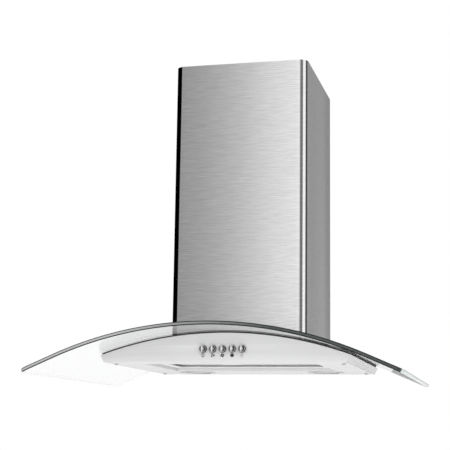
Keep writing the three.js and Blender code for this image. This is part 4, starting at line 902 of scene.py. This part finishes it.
def screws():
    rise = SEAT_GAP + SCREW_HEAD[1]
    for node in sorted(n for n in frame["nodes"] if "_screw_" in n):
        middle, low, high = middle_of(node)
        if node.startswith("glass"):
            out, head = out_of_arch(middle, GLASS_SCREW_TOP)
            whole = GLASS_SCREW_LENGTH
        else:
            side = (copysign(1, middle.x), 0, 0)
            out = Vector(next((way for start, way in SCREW_FACES.items() if node.startswith(start)), side))
            whole = abs((high - low).dot(out))
            head = middle + out * (whole / 2)
        shape = screw_shape(whole - rise).moved(towards(out, head - out * rise))
        solid(f"{node}_cross", shape, SCREW_CHROME, node)


def grommets():
    """Spools of rubber with a flange over and under the glass."""
    bore, radius, sleeve, flange = 2.0, 6.5, 4.2, 2.0
    top = GLASS_THICKNESS + SEAT_GAP
    under = DECK_RADIUS + SEAT_GAP - ARCH_RADIUS
    profile = [(bore, under), (radius, under), (radius, -SEAT_GAP), (sleeve, -SEAT_GAP), (sleeve, top),
               (radius, top), (radius, top + flange), (bore, top + flange)]
    for k, node in enumerate(GROMMETS, 1):
        spool = lathe(filleted(profile, 0.6, 3), 48).moved(towards(*out_of_arch(middle_of(node)[0])))
        solid(f"grommet_{k}_spool", spool, RUBBER, node, sharp=50)


# ---- blower

BLADES = 40
SHAFT_BORE = 4.3


def around_shaft(shape):
    """Lays a shape turned about Z along the motor's shaft, its heights becoming places in x."""
    middle = middle_of("motor")[0]
    return shape.moved(shifted(0, middle.y, middle.z) @ ALONG_X)


def motor_can():
    """Motor between two pressed bells, with the edges of its laminations showing."""
    low, high = box_mm("motor")
    radius, boss, bell, rim = (high.y - low.y) / 2, 13.0, 12.0, 1.2
    back, front = low.x, high.x
    lips = [(SHAFT_BORE, 0), (boss, 0), (boss + 1, bell / 3), (radius * 0.8, bell / 2),
            (radius - rim, bell - 2.5), (radius - rim, bell)]
    stack, sheet, groove = front - back - 2 * bell, 1.85, 0.5
    profile = [(r, back + x) for r, x in lips]
    for k in range(int(stack / sheet)):
        x = back + bell + k * sheet
        profile += [(radius - groove, x + 0.1), (radius, x + 0.3), (radius, x + sheet - 0.3),
                    (radius - groove, x + sheet - 0.1)]
    profile += [(r, front - x) for r, x in reversed(lips)]
    solid("motor_can", around_shaft(lathe(profile, 72)), MOTOR_STEEL, "motor")


def shaft_and_nut():
    low, high = box_mm("motor_shaft")
    radius, chamfer = (high.z - low.z) / 2, 0.6
    profile = [(0, low.x), (radius - chamfer, low.x), (radius, low.x + chamfer),
               (radius, high.x - chamfer), (radius - chamfer, high.x), (0, high.x)]
    solid("shaft_rod", around_shaft(lathe(profile, 40)), SCREW_CHROME, "motor_shaft")
    low, high = box_mm("impeller_nut")
    across = max(high.z - low.z, high.y - low.y) / 2
    nut = plate(circle((0, 0), across, 6), low.x, high.x, [circle((0, 0), SHAFT_BORE, 32)], 0.5, 2)
    solid("shaft_nut", around_shaft(nut), SCREW_CHROME, "impeller_nut")


def blower_wheel():
    """Drum wheel: curved blades between two rings, carried by a dished plate with a hub."""
    low, high = box_mm("impeller")
    rim = (high.z - low.z) / 2
    tip, root, half, ring = rim - 1.0, rim - 13.0, high.x, 2.5
    wheel = Shape()
    curl, thick, steps = radians(24) * 0.45, 0.9, 6
    for k in range(BLADES):
        front, behind = [], []
        for step in range(steps + 1):
            share = step / steps
            radius = root + (tip - root) * share
            angle = 2 * pi * k / BLADES + curl * share * share
            spread = thick / 2 / radius
            for side, edge in ((spread, front), (-spread, behind)):
                edge.append((radius * cos(angle + side), radius * sin(angle + side)))
        wheel.join(plate(behind + front[::-1], -half + 1, half - 1, edge=0.15, edge_steps=1))
    for x in (-half, half - ring):
        section = [(root, x), (rim, x), (rim, x + ring), (root, x + ring)]
        wheel.join(lathe(filleted(section, 0.6, 3), 96))
    hub, shoulder, end, disc = 12.0, 14.0, 9.0, 1.2
    carrier = mirrored([(root + 3, disc), (shoulder, 2), (hub, end), (SHAFT_BORE, end)])
    wheel.join(lathe(filleted(carrier, 0.8, 3), 72))
    solid("blower_wheel", around_shaft(wheel), BLACK_PLASTIC, "impeller", sharp=40)


# ---- outlet and electrics

def outlet():
    """Spigot for the duct on a screwed flange, with webs round it and a bar under the flaps."""
    middle, low, high = middle_of("outlet_collar")
    outer, wall, flange, height = 60.0, 1.5, 2.0, high.z - low.z
    inner = outer - wall
    ledge = 10.95  # what the flaps shut against
    profile = [(inner, 0), (outer, 0), (outer, height - 5), (outer - 0.5, height - 3.5),
               (outer, height - 2), (outer - 0.3, height), (inner, height), (inner, ledge),
               (inner - 3, ledge), (inner, ledge - 4)]
    shape = lathe(filleted(profile, 0.25, 3), 96)
    half = (high - low) / 2
    holes = [circle((0, 0), inner + 0.2, 96)]
    for k in range(1, 5):
        spot = middle_of(f"collar_screw_{k}")[0] - middle
        holes.append(circle((spot.x, spot.y), 2.0, 20))
    shape.join(plate(rectangle((-half.x, -half.y), (half.x, half.y), 6), 0, flange, holes, 0.4))
    webs, web_half, web_top = 8, 0.5, 10.0
    triangle = [(outer - 0.5, flange - 0.2), (outer + 4.5, flange - 0.2), (outer - 0.5, web_top)]
    for k in range(webs):
        web = plate(triangle, -web_half, web_half, edge=0.15, edge_steps=1)
        turn = 2 * pi * (k + 0.5) / webs
        shape.join(web.moved(Matrix.Rotation(turn, 4, "Z") @ WEB))
    bar_half, bar_bottom, bar_top = 5, 4.4, 9.4
    reach = inner + 0.5
    shape.join(plate(rectangle((-reach, -bar_half), (reach, bar_half), 0.5), bar_bottom, bar_top, edge=0.6))
    shape.moved(shifted(middle.x, middle.y, low.z))
    solid("outlet_spigot", shape, BLACK_PLASTIC, "outlet_collar")


def flaps():
    """Two half-round flaps on their hinge barrels, stiffened by thin ribs."""
    collar, base, _ = middle_of("outlet_collar")
    hinge_y, hinge_z, radius, thick = 3.2, 11.7, 56.5, 1.5
    rib_half, rib_rise, rib_margin = 0.6, 1.0, 4.0
    reach = degrees(asin(hinge_y / radius))
    rim = [(x, max(y - hinge_y, 0.0)) for x, y in arc((0, 0), radius, reach, 180 - reach, 48)]
    for name, side in (("damper_flap_rear", 1), ("damper_flap_front", -1)):
        flap = plate(rim, -thick / 2, thick / 2, edge=0.3)
        for r, half in ((2.0, 53.0), (1.2, 59.7)):  # the barrel and its pin
            line = mirrored([(r, half - 0.3), (r - 0.2, half), (0, half)])
            flap.join(lathe(line, 28).moved(ALONG_X))
        for x in (-28, 0, 28):
            long = sqrt(radius ** 2 - x ** 2) - hinge_y - rib_margin
            line = rectangle((x - rib_half, 1), (x + rib_half, long))
            flap.join(plate(line, thick / 2 - 0.1, thick / 2 + rib_rise, edge=0.3))
        flap.moved(Matrix.Diagonal((1, side, 1, 1)))
        flap.moved(shifted(collar.x, collar.y + side * hinge_y, base.z + hinge_z))
        solid(name.replace("damper_flap", "flap_half"), flap, BLACK_PLASTIC, name)


def capacitor_can():
    """A can with a crimped rim and a terminal, on a wider foot."""
    middle, low, high = middle_of("capacitor")
    base, height, terminal = (high.x - low.x) / 2, high.z - low.z, 4.0
    can, top = base - 3.0, height - 6.0
    profile = [(0, 0), (base, 0), (base, 2), (can, 2.6), (can, top - 0.5), (can - 0.5, top + 0.4),
               (can - 1.4, top + 0.6), (can - 1.8, top), (terminal + 0.5, top), (terminal, top + 1.5),
               (terminal, height - 0.5), (terminal - 0.5, height), (0, height)]
    shape = lathe(profile, 56).moved(shifted(middle.x, middle.y, low.z))
    solid("capacitor_can", shape, ALUMINIUM, "capacitor")


def gland():
    """Cable gland in the terminal box's wall: neck, hexagon and a ribbed clamping cap."""
    middle, low, high = middle_of("cable_gland")
    wall = high.x - 7.0  # outer face of the box's wall
    bore, neck, hexagon = 3.5, 7.7, max(high.z - low.z, high.y - low.y) / 2
    shape = plate(circle((0, 0), hexagon, 6), wall - 5, wall - 0.3, [circle((0, 0), bore, 32)], 0.5)
    line = [(bore, wall - 0.5), (neck, wall - 0.5), (neck, wall + 6.5), (neck - 0.5, wall + 7),
            (bore, wall + 7)]
    shape.join(lathe(line, 40))
    cap, teeth = [], 24
    for k in range(teeth):
        turn = 360 * k / teeth
        cap += arc((0, 0), hexagon - 0.9 - 0.45 * (k % 2), turn, turn + 270 / teeth, 2)
    shape.join(plate(cap, low.x, wall - 4.9, [circle((0, 0), bore + 0.1, 32)], 0.5))
    solid("gland_body", shape.moved(shifted(0, middle.y, middle.z) @ ALONG_X), BLACK_PLASTIC, "cable_gland")


# ---- lamps and filter

def lamp_bezel(node):
    """The lamp's flange and its can, stepped in above the lens; heights are over the panel's face."""
    middle, low, high = middle_of(node)
    flange = (high.x - low.x) / 2
    drop, can = low.z - BODY_BOTTOM, high.z - BODY_BOTTOM
    sleeve, lens, can_radius, top, wall = 28.7, 26.0, 20.0, 11.5, 1.2
    mouth, gap = lens - 1.5, SEAT_GAP
    profile = [
        (mouth, -0.1), (mouth, drop + 0.5), (mouth + 0.8, drop), (flange - 0.8, drop), (flange, drop + 0.4),
        (flange, -gap), (sleeve, -gap), (sleeve, top), (can_radius, can), (0, can), (0, can - wall),
        (can_radius - wall, can - wall), (lens + gap, top - 1), (lens + gap, -0.1),
    ]
    place = shifted(middle.x, middle.y, BODY_BOTTOM)
    return lathe(filleted(profile, 0.15, 3), 72).moved(place)


def lamp_disc(node):
    """The lens, slightly domed."""
    middle, low, high = middle_of(node)
    radius, thickness = (high.x - low.x) / 2, high.z - low.z
    profile = [(0, 0.35), (8, 0.25), (16, 0.1), (radius - 3.5, 0.0), (radius - 0.2, 0.2), (radius, 0.5),
               (radius, 1.5), (radius - 2, thickness), (0, thickness)]
    return lathe(profile, 72).moved(shifted(middle.x, middle.y, low.z))


def lamps():
    for side in ("left", "right"):
        housing, lens = f"lamp_housing_{side}", f"lamp_lens_{side}"
        solid(f"lamp_bezel_{side}", lamp_bezel(housing), LAMP_CHROME, housing)
        solid(f"lamp_disc_{side}", lamp_disc(lens), LENS, lens)


def strand_sheet(low, high, columns, rows, level, wave):
    """A layer of expanded metal: a lattice of diamonds with flat strands, slightly corrugated."""
    strand, flatness, period = 1.5, 0.45, 26.0
    work = bmesh.new()
    step_x = (high.x - low.x) / columns / 2
    step_y = (high.y - low.y) / rows / 2
    corners = {}

    def corner(i, j):
        if (i, j) not in corners:
            corners[i, j] = work.verts.new((low.x + i * step_x, low.y + j * step_y, level))
        return corners[i, j]

    for i in range(2 * columns + 1):
        for j in range(2 * rows + 1):
            if (i + j) % 2 == 0:
                continue
            around = [corner(*p) for p in ((i - 1, j), (i, j - 1), (i + 1, j), (i, j + 1))
                      if 0 <= p[0] <= 2 * columns and 0 <= p[1] <= 2 * rows]
            if len(around) > 2:
                work.faces.new(around)
    bmesh.ops.wireframe(work, faces=work.faces[:], thickness=strand, offset=0.0, use_replace=True,
                        use_boundary=True, use_even_offset=True, use_relative_offset=False)
    for v in work.verts:
        v.co.z = level + (v.co.z - level) * flatness + wave * sin(2 * pi * v.co.x / period)
    return shape_of(work)


def filter_layers():
    """Two layers of mesh, the finer one below."""
    middle, low, high = middle_of("filter_mesh")
    margin, wave = Vector((2, 2, 0)), 0.15
    low, high = low + margin, high - margin
    fine = strand_sheet(low, high, 52, 44, middle.z - 0.7, wave)
    coarse = strand_sheet(low, high, 40, 34, middle.z + 0.8, -wave)
    solid("filter_layer_1", fine, ALUMINIUM, "filter_mesh", sharp=40)
    solid("filter_layer_2", coarse, ALUMINIUM, body="filter", sharp=40)


# ---- studio, in metres

WORLD_LIGHT = 0.62  # what the world gives to surfaces, where 1 is white
FLOOR_LEVEL = -2.6  # the hood hangs above it
FLOOR_REACH = 9.0
WALL_RADIUS = 2.0
WALL_TOP = 5.0
WALL_GAP = -0.05  # foot of the wall behind the hood, where reflections meet the pale floor under it
GAP_BEARING = 140  # the gap reaches from here round the back

# Brightness of the wall by its bearing from straight in front of the hood, to the right in degrees.
REFLECTED = [
    (-180, 0.9), (-158, 0.9), (-155, 0.0), (-42, 0.0), (-38, 0.44), (-27, 0.40), (-17, 0.37),
    (-14, 0.50), (-11, 0.69), (-8, 0.94), (-6, 1.02), (11, 0.95), (18, 0.22), (46, 0.20), (51, 1.15),
    (84, 1.15), (89, 0.06), (117, 0.06), (123, 0.36), (160, 0.36), (165, 0.32), (172, 0.36), (180, 0.43),
]


def stage_mesh(name, verts, faces, look):
    piece = new_object(name, new_mesh(name, verts, faces, [look]))
    return piece


def seen_rays(tree):
    """1 for rays that should meet the white of the studio: camera, glossy and transmission rays."""
    path = add_node(tree, "ShaderNodeLightPath").outputs
    first = maths(tree, "MAXIMUM", path["Is Camera Ray"], path["Is Glossy Ray"])
    return maths(tree, "MAXIMUM", first, path["Is Transmission Ray"])


def studio_world():
    world = bpy.data.worlds.new("studio")
    world.use_nodes = True
    tree = world.node_tree
    back = tree.nodes["Background"]
    strength = add_node(tree, "ShaderNodeMapRange", {"To Min": WORLD_LIGHT, "To Max": 1.0},
                        {"Value": seen_rays(tree)})
    back.inputs["Color"].default_value = rgb(1)
    tree.links.new(strength.outputs["Result"], back.inputs["Strength"])
    bpy.context.scene.world = world


def studio_floor():
    """A pale floor that goes over into the white background further out."""
    look = Look("floor", 0.86, roughness=0.8)
    look.shade(look.noise(1.5, 2.0), 0.85, 0.87)
    distance = look.node("ShaderNodeVectorMath", links={0: look.place}, operation="LENGTH")["Value"]
    far = look.mapped(distance, 0.0, 1.0, (2.0, 7.0))
    white = look.node("ShaderNodeEmission", {"Color": rgb(1), "Strength": 1.0})
    look.surface(maths(look.tree, "MULTIPLY", far, seen_rays(look.tree)), white)
    rim = [(x, y, 0) for x, y in circle((0, 0), FLOOR_REACH, 96)]
    stage_mesh("floor", rim, [range(len(rim))], look).location.z = FLOOR_LEVEL


def wall_brightness(look):
    """The wall's brightness at its bearing, from the table of what is reflected."""
    tree = look.tree
    parts = look.node("ShaderNodeSeparateXYZ", links={"Vector": look.place})
    bearing = maths(tree, "ARCTAN2", parts["X"], maths(tree, "MULTIPLY", parts["Y"], -1.0))
    share = look.mapped(bearing, 0.0, 1.0, (-pi, pi))
    ramp = add_node(tree, "ShaderNodeFloatCurve", links={"Value": share})
    points = ramp.mapping.curves[0].points
    peak = max(value for _, value in REFLECTED)
    for k, (angle, value) in enumerate(REFLECTED):
        at = ((angle + 180) / 360, value / peak)
        if 0 < k < len(REFLECTED) - 1:
            point = points.new(*at)
        else:
            point = points[0 if k == 0 else -1]
            point.location = at
        point.handle_type = "VECTOR"
    ramp.mapping.update()
    return maths(tree, "MULTIPLY", ramp.outputs["Value"], peak)


def reflected_studio():
    """A round wall of black flags and softboxes that only reflections meet, also through the glass."""
    look = Look("reflected_studio", 0, roughness=1.0)
    glow = look.node("ShaderNodeEmission", {"Color": rgb(1)}, {"Strength": wall_brightness(look)})
    depth = look.node("ShaderNodeLightPath")["Glossy Depth"]
    reflection = maths(look.tree, "GREATER_THAN", depth, 0.5)
    clear = look.node("ShaderNodeBsdfTransparent")
    look.surface(reflection, glow, clear)  # clear to all other rays
    sides = 120
    rim = circle((0, 0), WALL_RADIUS, sides)
    raised = -WALL_RADIUS * cos(radians(GAP_BEARING))
    verts = [(x, y, WALL_GAP if y > raised else FLOOR_LEVEL) for x, y in rim]
    verts += [(x, y, WALL_TOP) for x, y in rim]
    faces = [[k, (k + 1) % sides, sides + (k + 1) % sides, sides + k] for k in range(sides)]
    wall = stage_mesh("reflected_studio", verts, faces, look)
    with_settings(wall, visible_camera=False, visible_diffuse=False, visible_volume_scatter=False,
                  visible_shadow=False)


LAMPS = {  # place, size of the side, watts
    "key": ((2.4, -2.2, 0.9), 1.8, 25),
    "fill": ((-1.6, -2.3, 0.1), 2.0, 13),
    "from_below": ((0.1, -0.9, -1.6), 1.6, 20),
}
LAMPS_AIM = Vector((0, -0.15, 0.15))


def lamps_of_the_studio():
    """Soft lamps that light the surfaces, but show in no reflection and not through the glass."""
    for name, (place, size, watts) in LAMPS.items():
        light = with_settings(bpy.data.lights.new(name, "AREA"), shape="SQUARE", size=size, energy=watts)
        turn = (LAMPS_AIM - Vector(place)).to_track_quat("-Z", "Y").to_euler()
        with_settings(new_object(name, light), location=place, rotation_euler=turn,
                      visible_glossy=False, visible_transmission=False)


# Camera, fitted to the photograph's edges and corners: metres, degrees, millimetres.
CAMERA_PLACE = (0.46548, -2.21448, -0.15156)
CAMERA_TURN = (-14.0377, 10.1809, -0.8308)  # yaw, pitch, roll
CAMERA_LENS = 95.524
SENSOR = 36.0


def camera():
    yaw, pitch, roll = (radians(a) for a in CAMERA_TURN)
    lens = with_settings(bpy.data.cameras.new("photo_view"), sensor_width=SENSOR, lens=CAMERA_LENS)
    eye = new_object("photo_view", lens)
    aimed = Matrix.Rotation(-yaw, 4, "Z") @ Matrix.Rotation(pi / 2 + pitch, 4, "X")
    eye.matrix_world = shifted(*CAMERA_PLACE) @ aimed @ Matrix.Rotation(-roll, 4, "Z")
    bpy.context.scene.camera = eye


# ---- all of it

dress_the_rest()
canopy_pane()
seal_strip()
fascia()
buttons()
symbols()
outer_cover()
lamps()
filter_layers()
screws()
grommets()
motor_can()
shaft_and_nut()
blower_wheel()
outlet()
flaps()
capacitor_can()
gland()

studio_world()
studio_floor()
reflected_studio()
lamps_of_the_studio()
camera()
bpy.context.scene.view_settings.view_transform = "Standard"
